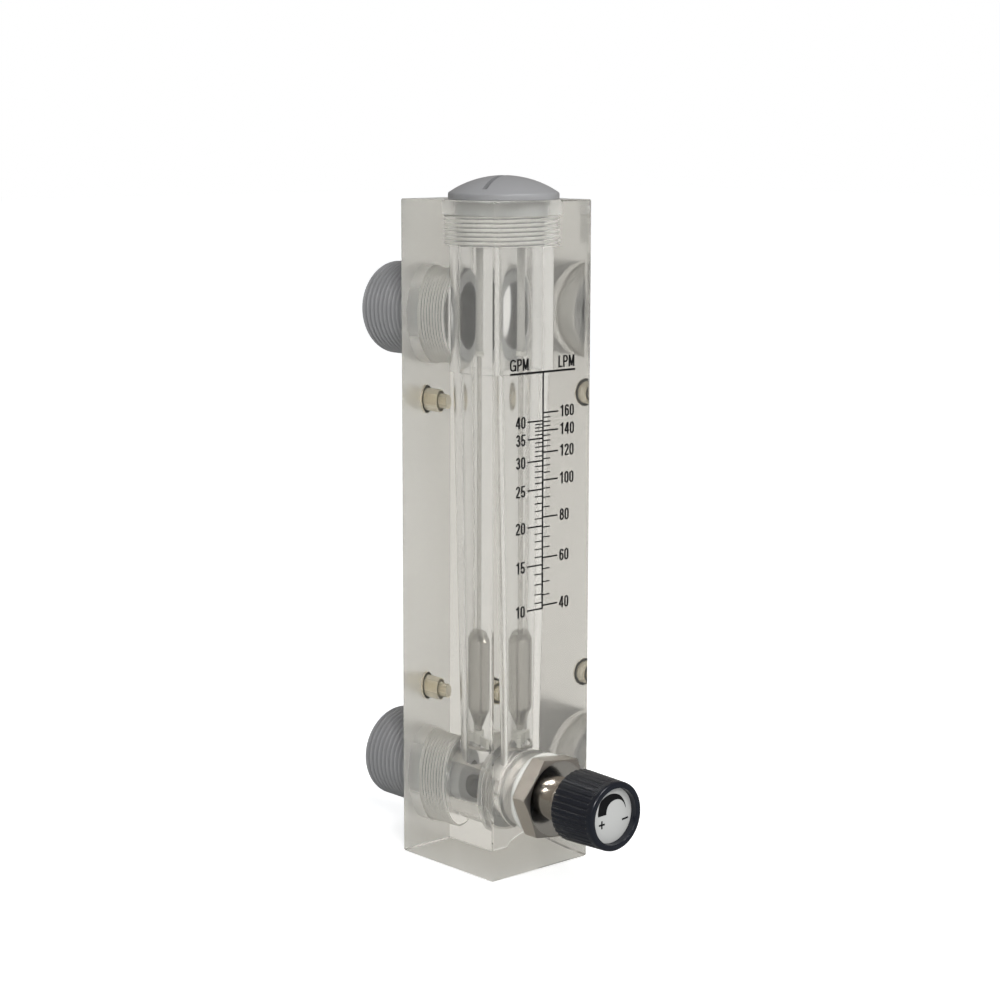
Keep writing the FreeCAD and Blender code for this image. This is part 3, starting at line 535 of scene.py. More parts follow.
def tube_cutter():
    """The tapered tube, its chamber and the plain parts of the plug's socket."""
    core = PLUG_SOCKET_RADIUS - THREAD_CORE
    return filled("tube_cutter", [
        (TUBE_FOOT_RADIUS, INLET_Z), (TUBE_FOOT_RADIUS, TUBE_FOOT_Z),
        (TUBE_TOP_RADIUS, TUBE_TOP_Z), (CHAMBER_RADIUS, TUBE_TOP_Z), (CHAMBER_RADIUS, PLUG_LOW.z),
        (core, PLUG_LOW.z), (core, SEAL_LOW.z - GAP),
        (SEAL_HIGH.x + GAP, SEAL_LOW.z - GAP), (SEAL_HIGH.x + GAP, TOP + OVER),
    ], ON_TUBE, 160)


def socket_thread(radius, start, end, place):
    """The threaded wall of a socket, as the shape that it cuts."""
    corners = [(radius + OVER, start), (radius + OVER, end)]
    return threaded("socket_thread", radius, FINE_DEPTH, FINE_PITCH, corners, FINE_FORM, place)


def port_cutter(height):
    """The plain parts of a port's socket."""
    core = PORT_SOCKET_RADIUS - THREAD_CORE
    return filled("port_cutter", [
        (core, PORT_FLOOR), (core, PORT_MOUTH - GAP),
        (PORT_MOUTH_RADIUS + GAP, PORT_MOUTH - GAP), (PORT_MOUTH_RADIUS + GAP, BACK + OVER),
    ], on_level(height))


def valve_cutter():
    """The valve chamber, the groove for the ring and the plain core of the bonnet's hole."""
    core = BONNET_HOLE_RADIUS - THREAD_CORE
    return filled("valve_cutter", [
        (core, FRONT - OVER), (core, RELIEF),
        (RELIEF_RADIUS + GAP, RELIEF), (RELIEF_RADIUS + GAP, SHOULDER),
        (VALVE_CHAMBER_RADIUS, SHOULDER), (VALVE_CHAMBER_RADIUS, PORT_FLOOR + OVER),
    ], ON_VALVE)


def insert_cutter(height):
    """A stepped hole for a threaded insert."""
    end = BACK - (INSERT_HIGH.y - INSERT_LOW.y)
    return filled("insert_cutter", [
        (INSERT_DRILL_RADIUS, BACK - INSERT_DRILL_DEPTH), (INSERT_DRILL_RADIUS, end),
        (INSERT_RADIUS, end), (INSERT_RADIUS, BACK - INSERT_FLANGE),
        (INSERT_HIGH.x + GAP, BACK - INSERT_FLANGE), (INSERT_HIGH.x + GAP, BACK + OVER),
    ], on_level(height), 64)


# How far in from its faces the block counts as outside, and how far a socket's wall reaches in
OUTSIDE = 0.6
SOCKET_WALL = 1.2
LOWER_INSERT_Z = (INSERT_LOW.z + INSERT_HIGH.z) / 2
UPPER_INSERT_Z = (UPPER_INSERT_LOW.z + UPPER_INSERT_HIGH.z) / 2


def make_block():
    block = block_blank()
    cutters = [
        tube_cutter(),
        socket_thread(PLUG_SOCKET_RADIUS, PLUG_LOW.z - GAP, SEAL_LOW.z + GAP, ON_TUBE),
        port_cutter(OUTLET_Z),
        port_cutter(INLET_Z),
        valve_cutter(),
        socket_thread(PORT_SOCKET_RADIUS, PORT_FLOOR, PORT_MOUTH + GAP, on_level(OUTLET_Z)),
        socket_thread(PORT_SOCKET_RADIUS, PORT_FLOOR, PORT_MOUTH + GAP, ON_VALVE),
        socket_thread(BONNET_HOLE_RADIUS, FRONT - OVER, RELIEF + GAP, ON_VALVE),
        insert_cutter(LOWER_INSERT_Z),
        insert_cutter(UPPER_INSERT_Z),
    ]
    for cutter in cutters:
        combine(block, cutter, "DIFFERENCE")
    finish(block, "acrylic_block", [ACRYLIC], "meter", "body_block", 30.0)
    wall = block.data.attributes.new("wall", "FLOAT_VECTOR", "FACE")
    for polygon in block.data.polygons:
        wall.data[polygon.index].vector = wall_kind(polygon.center / MM)


def thread_kind(radius, outer):
    """The crests between a socket's threads are clearer than their flanks."""
    return THREAD_CREST if radius < outer - FINE_DEPTH + 0.1 else FROSTED


def wall_kind(middle):
    """How the wall at a place of the block is finished."""
    if middle.z < GAP:
        return STANDING
    if middle.z > TOP - GAP or middle.y > BACK - GAP:
        return SATIN
    if abs(middle.x) > BLOCK_HIGH.x - OUTSIDE or middle.y < FRONT + OUTSIDE:
        return POLISHED
    if middle.z < OUTSIDE or middle.z > TOP - OUTSIDE:
        return POLISHED
    from_tube = math.hypot(middle.x, middle.y - TUBE_Y)
    if middle.z > PLUG_LOW.z - GAP and from_tube > PLUG_SOCKET_RADIUS - SOCKET_WALL:
        return PORT_COLLAR if middle.z > SEAL_LOW.z + GAP else thread_kind(from_tube, PLUG_SOCKET_RADIUS)
    for height in (INLET_Z, OUTLET_Z):
        radius = math.hypot(middle.x, middle.z - height)
        in_wall = PORT_SOCKET_RADIUS - SOCKET_WALL < radius < PORT_MOUTH_RADIUS + 0.1
        if middle.y > PORT_FLOOR - GAP and in_wall:
            return PORT_COLLAR if middle.y > PORT_MOUTH + GAP else thread_kind(radius, PORT_SOCKET_RADIUS)
    for height in (LOWER_INSERT_Z, UPPER_INSERT_Z):
        radius = math.hypot(middle.x, middle.z - height)
        if middle.y > BACK - INSERT_DRILL_DEPTH - GAP and radius < INSERT_HIGH.x + 0.2:
            return DRILLED
    radius = math.hypot(middle.x, middle.z - INLET_Z)
    if middle.y < SHOULDER + GAP and BONNET_HOLE_RADIUS - SOCKET_WALL < radius < RELIEF_RADIUS + 0.1:
        return PORT_COLLAR
    in_tube = INLET_Z < middle.z < PLUG_LOW.z and from_tube < CHAMBER_RADIUS + GAP
    return TUBE_WALL if in_tube else CLEAR_BORE


# Port fittings and the plug

FITTING_BORE = 11.65
FITTING_EDGE = 1.0
NECK_LENGTH = 4.0
NECK_RADIUS = 15.6
PIPE_RADIUS = 16.6
NOZZLE_RADIUS = 11.5
NOZZLE_BORE = 8.6
SEAT_HOLE = 5.6
SEAT_WEB = 3.0
SEAT_RING = 8.0
SEAT_DEPTH = 1.2
SMOOTH_START = 1.2
THREAD_STOP = 1.0


def fitting(name, height):
    """A grey fitting: pipe thread outside, collar in the block's mouth, fine thread in its socket."""
    place = on_level(height)
    end = OUTLET_HIGH.y
    collar = PORT_MOUTH_RADIUS - GAP
    inner = PORT_SOCKET_RADIUS - FINE_DEPTH - THREAD_GAP
    neck = BACK + NECK_LENGTH
    body = filled(name, [
        (inner, PORT_MOUTH - SMOOTH_START), (inner, PORT_SEAL_HIGH.y),
        (collar, PORT_SEAL_HIGH.y, 0.3), (collar, BACK, 0.4),
        (NECK_RADIUS - 0.4, BACK), (NECK_RADIUS - 0.4, neck + 1.5),
    ], place)
    crest = PIPE_RADIUS + 0.4
    combine(body, threaded("pipe", PIPE_RADIUS, PIPE_DEPTH, PIPE_PITCH, [
        (NECK_RADIUS - 0.9, neck - 1.4), (crest, neck + 0.5),
        (crest, end - FITTING_EDGE - 0.6), (PIPE_RADIUS - FITTING_EDGE - 0.5, end, 0.3),
    ], pipe_form(), place), "UNION")
    combine(body, fine_shank(PORT_SOCKET_RADIUS, OUTLET_LOW.y, PORT_MOUTH - THREAD_STOP, place), "UNION")
    hole = [(FITTING_BORE, OUTLET_LOW.y - OVER), (FITTING_BORE, end + OVER)]
    if name == "inlet_fitting":
        front = INLET_LOW.y
        combine(body, filled("nozzle", [
            (NOZZLE_RADIUS, front, 0.35), (NOZZLE_RADIUS, OUTLET_LOW.y + 1.5),
        ], place), "UNION")
        hole = [
            (SEAT_RING, front - OVER), (SEAT_RING, front + SEAT_DEPTH),
            (SEAT_HOLE, front + SEAT_DEPTH), (SEAT_HOLE, front + SEAT_WEB),
            (NOZZLE_BORE, front + SEAT_WEB), (NOZZLE_BORE, PORT_MOUTH),
            (FITTING_BORE, PORT_MOUTH + FITTING_BORE - NOZZLE_BORE), (FITTING_BORE, end + OVER),
        ]
    return combine(body, filled("hole", hole, place), "DIFFERENCE")


PLUG_RIM = 2.2
PLUG_HEAD_RADIUS = 19.0
SLOT_WIDTH = 1.7
SLOT_DEPTH = 4.4
SLOT_REACH = 17.5
SLOT_ANGLE = 25.0
DOME_STEPS = 20


def in_bore(middle, height):
    """True for the walls of a fitting's bore, which get painted shade."""
    return math.hypot(middle.x, middle.z - height) < FITTING_BORE + GAP and middle.y > PORT_FLOOR + GAP


def make_fittings():
    for node, height in (("outlet_fitting", OUTLET_Z), ("inlet_fitting", INLET_Z)):
        piece = fitting(node, height)
        finish(piece, node + "_threaded", [GREY, GREY_BORE_PAINTED_SHADE, GREY_INSIDE_PAINTED_LIGHT], "meter", node, 34.0)
        # The inner ends, deep in the block, take the lighter copy as painted light
        assign(piece, 2, lambda middle, normal: middle.y < PORT_FLOOR + 1.0)
        # The bore walls take the near-black copy as painted shade
        assign(piece, 1, lambda middle, normal: in_bore(middle, height) and abs(normal.y) < 0.9)


def make_plug():
    """Domed head with a slot, a smooth collar in the socket's mouth and a threaded shank."""
    rise = PLUG_HIGH.z - TOP - PLUG_RIM
    ball = (PLUG_HEAD_RADIUS ** 2 + rise ** 2) / (2 * rise)
    reach = math.asin(PLUG_HEAD_RADIUS / ball)
    dome = []
    for step in range(DOME_STEPS + 1):
        angle = reach * (1 - step / DOME_STEPS)
        dome.append((ball * math.sin(angle), TOP + PLUG_RIM + rise - ball + ball * math.cos(angle)))
    dome[0] = (*dome[0], 0.5)
    inner = PLUG_SOCKET_RADIUS - FINE_DEPTH - THREAD_GAP
    collar = SEAL_HIGH.x - GAP
    plug = turned("plug", [
        (0, SEAL_LOW.z - SMOOTH_START), (inner, SEAL_LOW.z - SMOOTH_START), (inner, SEAL_HIGH.z),
        (collar, SEAL_HIGH.z, 0.2), (collar, TOP), (PLUG_HEAD_RADIUS, TOP, 0.3),
    ] + dome, ON_TUBE)
    combine(plug, fine_shank(PLUG_SOCKET_RADIUS, PLUG_LOW.z, SEAL_LOW.z - THREAD_STOP, ON_TUBE), "UNION")
    way = ON_TUBE @ Matrix.Rotation(math.radians(SLOT_ANGLE), 4, "Z")
    height = (PLUG_HIGH.z - SLOT_DEPTH, PLUG_HIGH.z + OVER)
    combine(plug, bar_solid("slot", SLOT_WIDTH, (-SLOT_REACH, SLOT_REACH), height, way), "DIFFERENCE")
    bore = ROD_HIGH.x + GAP
    combine(plug, filled("rod_socket", [
        (bore, PLUG_LOW.z - OVER), (bore, ROD_HIGH.z),
    ], ON_TUBE, 48), "DIFFERENCE")
    finish(plug, "top_plug_threaded", [GREY], "meter", "top_plug")


# Inside the tube

def lathe(name, profile, place, material, body, node, segments=64):
    """A finished piece of one turned shape."""
    finish(turned(name, profile, place, segments), name, [material], body, node)


def ring(inner, outer, low, high, ease=0.3, inner_ease=0):
    """The profile of a ring, with its corners eased."""
    corners = ((inner, low, inner_ease), (outer, low, ease), (outer, high, ease), (inner, high, inner_ease))
    return [corner if corner[2] else corner[:2] for corner in corners]


def make_tube_parts():
    rod = ROD_HIGH.x
    bore = rod + GAP
    lathe("polished_rod", [
        (0, ROD_LOW.z), (rod, ROD_LOW.z, 0.3), (rod, ROD_HIGH.z - GAP), (0, ROD_HIGH.z - GAP),
    ], ON_TUBE, STEEL_ROD, "meter", "guide_rod")
    lathe("rod_sleeve", [
        (bore, SLEEVE_LOW.z), (SLEEVE_HIGH.x, SLEEVE_LOW.z, 0.15),
        (SLEEVE_HIGH.x, SLEEVE_HIGH.z - GAP), (bore, SLEEVE_HIGH.z - GAP),
    ], ON_TUBE, CLEAR_TUBE, "meter", "stop_sleeve")
    lathe("rod_collar", ring(bore, COLLAR_HIGH.x, COLLAR_LOW.z, COLLAR_HIGH.z - GAP),
          ON_TUBE, NYLON, "meter", "stop_collar")
    clip = ring(CLIP_HIGH.x - 1.5, CLIP_HIGH.x - 0.02, CLIP_LOW.z, CLIP_HIGH.z, 0.1, 0.1)
    lathe("spring_clip", clip, ON_TUBE, STEEL, "meter", "guide_clip", 96)
    make_float()
    make_guide()


FLOAT_TAIL = (2.4, 2.0)
FLOAT_CONE = (3.3, 6.5)
FLOAT_BEVEL = 2.1
FLOAT_BORE = 1.68


def make_float():
    """The float: short tail, cone, straight body and bevelled crown."""
    radius, foot, top = FLOAT_HIGH.x, FLOAT_LOW.z, FLOAT_HIGH.z
    tail, cone = FLOAT_TAIL[0], foot + FLOAT_TAIL[1]
    lathe("steel_float", [
        (FLOAT_BORE, foot, 0.15), (tail, foot, 0.25), (tail, cone), (FLOAT_CONE[0], cone, 0.2),
        (radius, cone + FLOAT_CONE[1], 0.5), (radius, top - FLOAT_BEVEL, 0.3),
        (radius - FLOAT_BEVEL, top, 0.2), (FLOAT_BORE, top, 0.2),
    ], ON_TUBE, STEEL, "float", "float", ROUND)


VANES = 3
VANE_WIDTH = 1.6
HUB_RADIUS = 3.2
HUB_BEVEL = 0.8


def make_guide():
    """A hub with three vanes that centres the foot of the rod."""
    bore = ROD_HIGH.x + GAP
    foot, top = GUIDE_LOW.z, GUIDE_HIGH.z
    hub = turned("hub", [
        (bore, foot, 0.1), (HUB_RADIUS, foot, 0.2), (HUB_RADIUS, top - HUB_BEVEL),
        (HUB_RADIUS - HUB_BEVEL, top), (bore, top),
    ], ON_TUBE, 64)
    length = (bore + VANE_WIDTH / 2, TUBE_FOOT_RADIUS - GAP)
    for number in range(VANES):
        way = ON_TUBE @ Matrix.Rotation(math.tau * number / VANES, 4, "Z")
        combine(hub, bar_solid("vane", VANE_WIDTH, length, (foot, TUBE_FOOT_Z), way), "UNION")
    finish(hub, "vaned_guide", [NYLON], "meter", "lower_guide")


# Valve

HEX_SIDES = 6
HEX_FLATS = 27.0
HEX_TURN = -7.3
HEX_BEVEL = 0.8
HEX_FACE_INSET = 0.45
HEX_EASE = 0.2
STEM_RADIUS = 3.5
PACKING_RADIUS = 5.6
PACKING_LENGTH = 3.2
HOLLOW_RADIUS = 9.0
HOLLOW_DEPTH = 4.0
STEM_END_RADIUS = 3.0
STEM_HEAD_RADIUS = 4.0
STEM_HEAD_HEIGHT = 1.1


def make_bonnet():
    """The hexagon head with its turned face, and the threaded shank."""
    corner = HEX_FLATS / 2 / math.cos(math.pi / HEX_SIDES)
    back = WASHER_LOW.y
    points = []
    for level in (HEX_LOW.y, back):
        for number in range(HEX_SIDES):
            angle = math.radians(HEX_TURN) + math.tau * number / HEX_SIDES
            points.append((corner * math.cos(angle), level, INLET_Z + corner * math.sin(angle)))
    faces = [list(range(HEX_SIDES)), list(range(HEX_SIDES, 2 * HEX_SIDES))]
    for number in range(HEX_SIDES):
        ahead = (number + 1) % HEX_SIDES
        faces.append([number, ahead, ahead + HEX_SIDES, number + HEX_SIDES])
    bonnet = solid("bonnet", points, faces)
    ease_edges(bonnet, HEX_EASE, 2, lambda start, end: abs(start.y - end.y) > 1)
    face_radius = HEX_FLATS / 2 - HEX_FACE_INSET
    wide = corner + OVER
    slope = HEX_BEVEL / (corner - face_radius) * (wide - face_radius)
    front, end = HEX_LOW.y, HEX_HIGH.y
    combine(bonnet, filled("bevels", [
        (face_radius, front), (wide, front + slope), (wide, back - slope), (face_radius, back),
    ], ON_VALVE), "INTERSECT")
    core = BONNET_HOLE_RADIUS - THREAD_GAP
    combine(bonnet, threaded("shank", core, FINE_DEPTH, FINE_PITCH, [
        (core + 0.3, back - GAP), (core + 0.3, end - 0.9), (core - 0.8, end),
    ], FINE_FORM, ON_VALVE), "UNION")
    floor, packing_end = end - HOLLOW_DEPTH, GLAND_HIGH.y + PACKING_LENGTH
    combine(bonnet, filled("bore", [
        (HOLLOW_RADIUS, end + OVER), (HOLLOW_RADIUS, floor),
        (STEM_RADIUS + GAP, floor), (STEM_RADIUS + GAP, packing_end),
        (PACKING_RADIUS, packing_end), (PACKING_RADIUS, front - OVER),
    ], ON_VALVE), "DIFFERENCE")
    finish(bonnet, "hex_bonnet", [NICKEL, NICKEL_TURNED], "meter", "valve_bonnet", 20.0)
    assign(bonnet, 1, lambda middle, normal: normal.y < -0.9 and middle.y < front + GAP)


def make_valve_parts():
    stem, thread_end = STEM_RADIUS + 2 * GAP, PACKING_RADIUS - GAP
    lathe("round_gland_nut", [
        (stem, GLAND_HIGH.y), (thread_end, GLAND_HIGH.y), (thread_end, HEX_LOW.y),
        (GLAND_HIGH.x, HEX_LOW.y), (GLAND_HIGH.x, GLAND_LOW.y, 0.4), (stem, GLAND_LOW.y),
    ], ON_VALVE, NICKEL_TURNED, "meter", "gland_nut", ROUND)
    inner = BONNET_HOLE_RADIUS - THREAD_GAP + 0.1
    lathe("flat_washer", ring(inner, WASHER_HIGH.x, WASHER_LOW.y, WASHER_HIGH.y),
          ON_VALVE, NYLON, "meter", "bonnet_washer", ROUND)
    seal = ring(VALVE_CHAMBER_RADIUS, RELIEF_RADIUS - 0.02, RING_LOW.y, RING_HIGH.y, 0.5, 0.3)
    lathe("seal_ring", seal, ON_VALVE, RUBBER, "meter", "bonnet_seal", ROUND)
    # The stem, with its swivel head at the valve plate; its thread where it runs in the bonnet is not
    # modelled
    hub, head = BUSH_HIGH.y + GAP, STEM_HIGH.y
    neck = head - STEM_HEAD_HEIGHT
    lathe("threaded_stem", [
        (0, head), (STEM_HEAD_RADIUS, head, 0.2), (STEM_HEAD_RADIUS, neck, 0.2), (STEM_RADIUS, neck),
        (STEM_RADIUS, hub, 0.3), (STEM_END_RADIUS, hub), (STEM_END_RADIUS, STEM_LOW.y), (0, STEM_LOW.y),
    ], ON_VALVE, STEM_STEEL, "valve_stem", "valve_stem")
    make_knob()
    make_knob_marks()


FLUTES = 36
FLUTE_RADIUS = 0.7
FLUTE_DEPTH = 0.35
KNOB_BAND = 2.4
KNOB_EDGE = 0.7
KNOB_BACK_EDGE = 0.35
KNOB_DRAFT = 0.6
SKIRT_RADIUS = 8.6
BUSH_RADIUS = 5.2


def flute_columns(radius):
    """Angles round the knob, each with the depth share of the flute there."""
    half = math.sqrt(FLUTE_RADIUS ** 2 - (FLUTE_RADIUS - FLUTE_DEPTH) ** 2)
    pitch = math.tau * radius / FLUTES
    columns = []
    for number in range(FLUTES):
        for across in (-half, -0.75 * half, -0.4 * half, 0.0, 0.4 * half, 0.75 * half, half, pitch / 2):
            depth = math.sqrt(max(FLUTE_RADIUS ** 2 - across ** 2, 0)) - (FLUTE_RADIUS - FLUTE_DEPTH)
            share = max(depth, 0.0) / FLUTE_DEPTH if abs(across) < half else 0.0
            columns.append((math.tau * number / FLUTES + across / radius, share))
    return columns


def knob_radius(level):
    """The knob tapers to the front."""
    share = (KNOB_HIGH.y - level) / (KNOB_HIGH.y - KNOB_LOW.y)
    return KNOB_HIGH.x - KNOB_DRAFT * share


def make_knob():
    """The fluted knob: smooth band at the front, skirt behind, recess for the plate."""
    front, back = KNOB_LOW.y, KNOB_HIGH.y
    floor = PLATE_HIGH.y
    hub = BUSH_HIGH.y + GAP
    band = front + KNOB_BAND
    recess = PLATE_HIGH.x + GAP
    bush = BUSH_RADIUS + GAP
    behind = knob_radius(back) - KNOB_BACK_EDGE
    rim = eased([(recess, floor), (recess, front, 0.3), (knob_radius(front), front, KNOB_EDGE + 0.2),
                 (knob_radius(band), band)])
    rows = [(bush, floor, 0), (recess, floor, 0)] + [(point.x, point.y, 0) for point in rim[1:-1]]
    for level, weight in ((band, 0), (band + 0.2, 0.5), (band + 0.45, 0.85), (band + 0.8, 1),
                          (back - KNOB_BACK_EDGE, 1)):
        rows.append((knob_radius(level), level, weight))
    rows += [(behind, back, 0.3), (SKIRT_RADIUS, back, 0), (SKIRT_RADIUS, hub, 0), (bush, hub, 0)]
    columns = flute_columns(knob_radius(back))
    points, rings = [], []
    for reach, level, weight in rows:
        rings.append(list(range(len(points), len(points) + len(columns))))
        for angle, share in columns:
            out = reach - FLUTE_DEPTH * weight * share
            points.append((out * math.cos(angle), out * math.sin(angle), level))
    knob = solid("knob_form", points, bands(rings), ON_VALVE)
    finish(knob, "fluted_knob", [KNOB_BLACK], "valve_stem", "knob", 34.0)
    lathe("round_plate", [
        (0, PLATE_HIGH.y), (PLATE_HIGH.x, PLATE_HIGH.y),
        (PLATE_HIGH.x, PLATE_LOW.y, 0.12), (0, PLATE_LOW.y),
    ], ON_VALVE, PLATE_WHITE, "valve_stem", "knob_plate", ROUND)


# Printed marks

INK_LIFT = 0.015
INK_THICK = 0.03
CRESCENT_OUTER = ((175, 6.6), (154, 7.1), (134, 7.8), (116, 7.7), (98, 7.6), (80, 7.45), (60, 7.35),
                  (38, 7.0), (12, 6.7))
CRESCENT_INNER = ((166, 2.7), (136, 3.4), (112, 4.2), (88, 4.9), (70, 5.5), (52, 6.1), (35, 6.4),
                  (12.5, 6.6))
MARK_STROKE = 0.65
# A plus, whose upright is in two halves, and a minus
MARKS = (((-6.15, -2.5), (-3.35, -2.5)), ((-4.75, -3.9), (-4.75, -2.825)),
         ((-4.75, -2.175), (-4.75, -1.1)), ((4.8, -2.4), (7.7, -2.1)))
MARK_SHIFT = (0.45, -0.11)


def print_slab(outline, level, middle=(0.0, 0.0)):
    """Points and faces of a thin slab of ink in front of the level plane along Y."""
    near, far = level - INK_LIFT - INK_THICK, level - INK_LIFT
    count = len(outline)
    points = [(middle[0] + x, near, middle[1] + z) for x, z in outline]
    points += [(middle[0] + x, far, middle[1] + z) for x, z in outline]
    faces = [list(range(count)), list(range(2 * count - 1, count - 1, -1))]
    for index in range(count):
        after = (index + 1) % count
        faces.append([index, index + count, after + count, after])
    return points, faces


def bar(start, end, width):
    """The outline of a straight stroke."""
    start, end = Vector(start), Vector(end)
    side = (end - start).normalized().orthogonal() * width / 2
    return [tuple(start + side), tuple(end + side), tuple(end - side), tuple(start - side)]


def gather(name, slabs):
    """One object of several slabs."""
    points, faces = [], []
    for slab_points, slab_faces in slabs:
        first = len(points)
        points += slab_points
        faces += [[corner + first for corner in face] for face in slab_faces]
    return solid(name, points, faces)


def curve(values, index, share):
    """The smooth curve through the values, at a share of the way from index to the next."""
    before, here = values[max(index - 1, 0)], values[index]
    after, beyond = values[index + 1], values[min(index + 2, len(values) - 1)]
    return 0.5 * (2 * here + (after - before) * share
                  + (2 * before - 5 * here + 4 * after - beyond) * share ** 2
                  + (3 * here - before - 3 * after + beyond) * share ** 3)


def smooth_line(stations, steps=6):
    """Angles and radii joined by a smooth curve."""
    angles, radii = zip(*stations)
    points = [(curve(angles, index, step / steps), curve(radii, index, step / steps))
              for index in range(len(stations) - 1) for step in range(steps)]
    return [(radius * math.cos(math.radians(angle)), radius * math.sin(math.radians(angle)))
            for angle, radius in points + [stations[-1]]]


def make_knob_marks():
    """A tapering crescent with a plus and a minus, as on any turning control."""
    outlines = [smooth_line(CRESCENT_OUTER) + smooth_line(CRESCENT_INNER)[::-1]]
    outlines += [bar(start, end, MARK_STROKE) for start, end in MARKS]
    middle = (MARK_SHIFT[0], INLET_Z + MARK_SHIFT[1])
    marks = gather("marks", [print_slab(outline, PLATE_LOW.y, middle) for outline in outlines])
    finish(marks, "knob_marks", [INK], "valve_stem", None)


SCALE_X = 0.1
SCALE_TOP = 174.6
SCALE_LOW_X, SCALE_HIGH_X = -15.0, 15.0
MAJOR_LOW_X, MAJOR_HIGH_X = -6.97, 7.17
MINOR_LOW_X, MINOR_HIGH_X = -3.56, 3.51
GALLON_END, LITRE_START = -7.93, 8.13
UNITS_HEIGHT = 177.62
GALLON = 3.785
LINE = 0.72
TICK = 0.55
SHORT_TICK = 0.42
GALLONS = range(10, 41)
LITRES = range(40, 165, 5)
GALLON_STEP, LITRE_STEP = 5, 20
# The float's height at every fifth gallon a minute from the first; the last is past the scale
FLOAT_HEIGHTS = (93.0, 108.3, 121.8, 134.5, 144.3, 152.0, 158.0, 163.2)


def flow_height(gallons):
    """How high the float stands on the scale at a flow in gallons a minute."""
    index = min(int((gallons - GALLONS[0]) // GALLON_STEP), len(FLOAT_HEIGHTS) - 2)
    return curve(FLOAT_HEIGHTS, index, (gallons - GALLONS[0] - index * GALLON_STEP) / GALLON_STEP)


def make_scale():
    """The printed scale: gallons on the left, litres on the right."""
    bars = [bar((SCALE_LOW_X, SCALE_TOP), (SCALE_HIGH_X, SCALE_TOP), LINE)]
    bars.append(bar((SCALE_X, flow_height(GALLONS[0]) - TICK / 2), (SCALE_X, SCALE_TOP), LINE))
    labels = []
    for flows, unit, step, major_x, minor_x in (
            (GALLONS, 1, GALLON_STEP, MAJOR_LOW_X, MINOR_LOW_X),
            (LITRES, GALLON, LITRE_STEP, MAJOR_HIGH_X, MINOR_HIGH_X)):
        for flow in flows:
            height, text = flow_height(flow / unit), str(flow)
            major = flow % step == 0
            ends = sorted((SCALE_X, major_x if major else minor_x))
            bars.append(bar((ends[0], height), (ends[1], height), TICK if major else SHORT_TICK))
            if major and flows is GALLONS:
                labels.append((text, GALLON_END - text_width(text), height))
            elif major:
                labels.append((text, LITRE_START - FIRST_INSET.get(text[0], 0), height))
    units = [("GPM", GPM_START, UNITS_HEIGHT), ("LPM", LPM_START, UNITS_HEIGHT)]
    for name, slabs in (("lines", [print_slab(outline, FRONT) for outline in bars]),
                        ("numbers", [slab for label in labels for slab in lettering(*label)]),
                        ("units", [slab for unit in units for slab in lettering(*unit)])):
        finish(gather(name, slabs), "scale_" + name, [INK], "meter", None)


# Lettering: each sign is drawn with strokes of one width on a field one unit high, then widened

SIGN_HEIGHT = 4.06
SIGN_STRETCH = 1.33
SIGN_STROKE = 0.135
SIGN_GAP = 0.054
DIGIT = 0.374
FIRST_INSET = {"1": 0.2}
GPM_START = -15.14
LPM_START = 7.1
ARC_STEPS = 12


def arc(middle, reach, start, end):
    """Points along an ellipse from the start to the end angle, in degrees."""
    points = []
    for step in range(ARC_STEPS + 1):
        angle = math.radians(start + (end - start) * step / ARC_STEPS)
        points.append((middle[0] + reach[0] * math.cos(angle), middle[1] + reach[1] * math.sin(angle)))
    return points


def loop(left, right, low, high, curve):
    """A tall ring with straight sides; its ends are curve high."""
    middle, reach = (left + right) / 2, (right - left) / 2
    upper, lower = (middle, high - curve), (middle, low + curve)
    return arc(upper, (reach, curve), 0, 180) + arc(lower, (reach, curve), 180, 360), True


def path(*parts):
    """An open stroke through points and the points of arcs."""
    points = []
    for part in parts:
        points += part if isinstance(part, list) else [part]
    return points, False


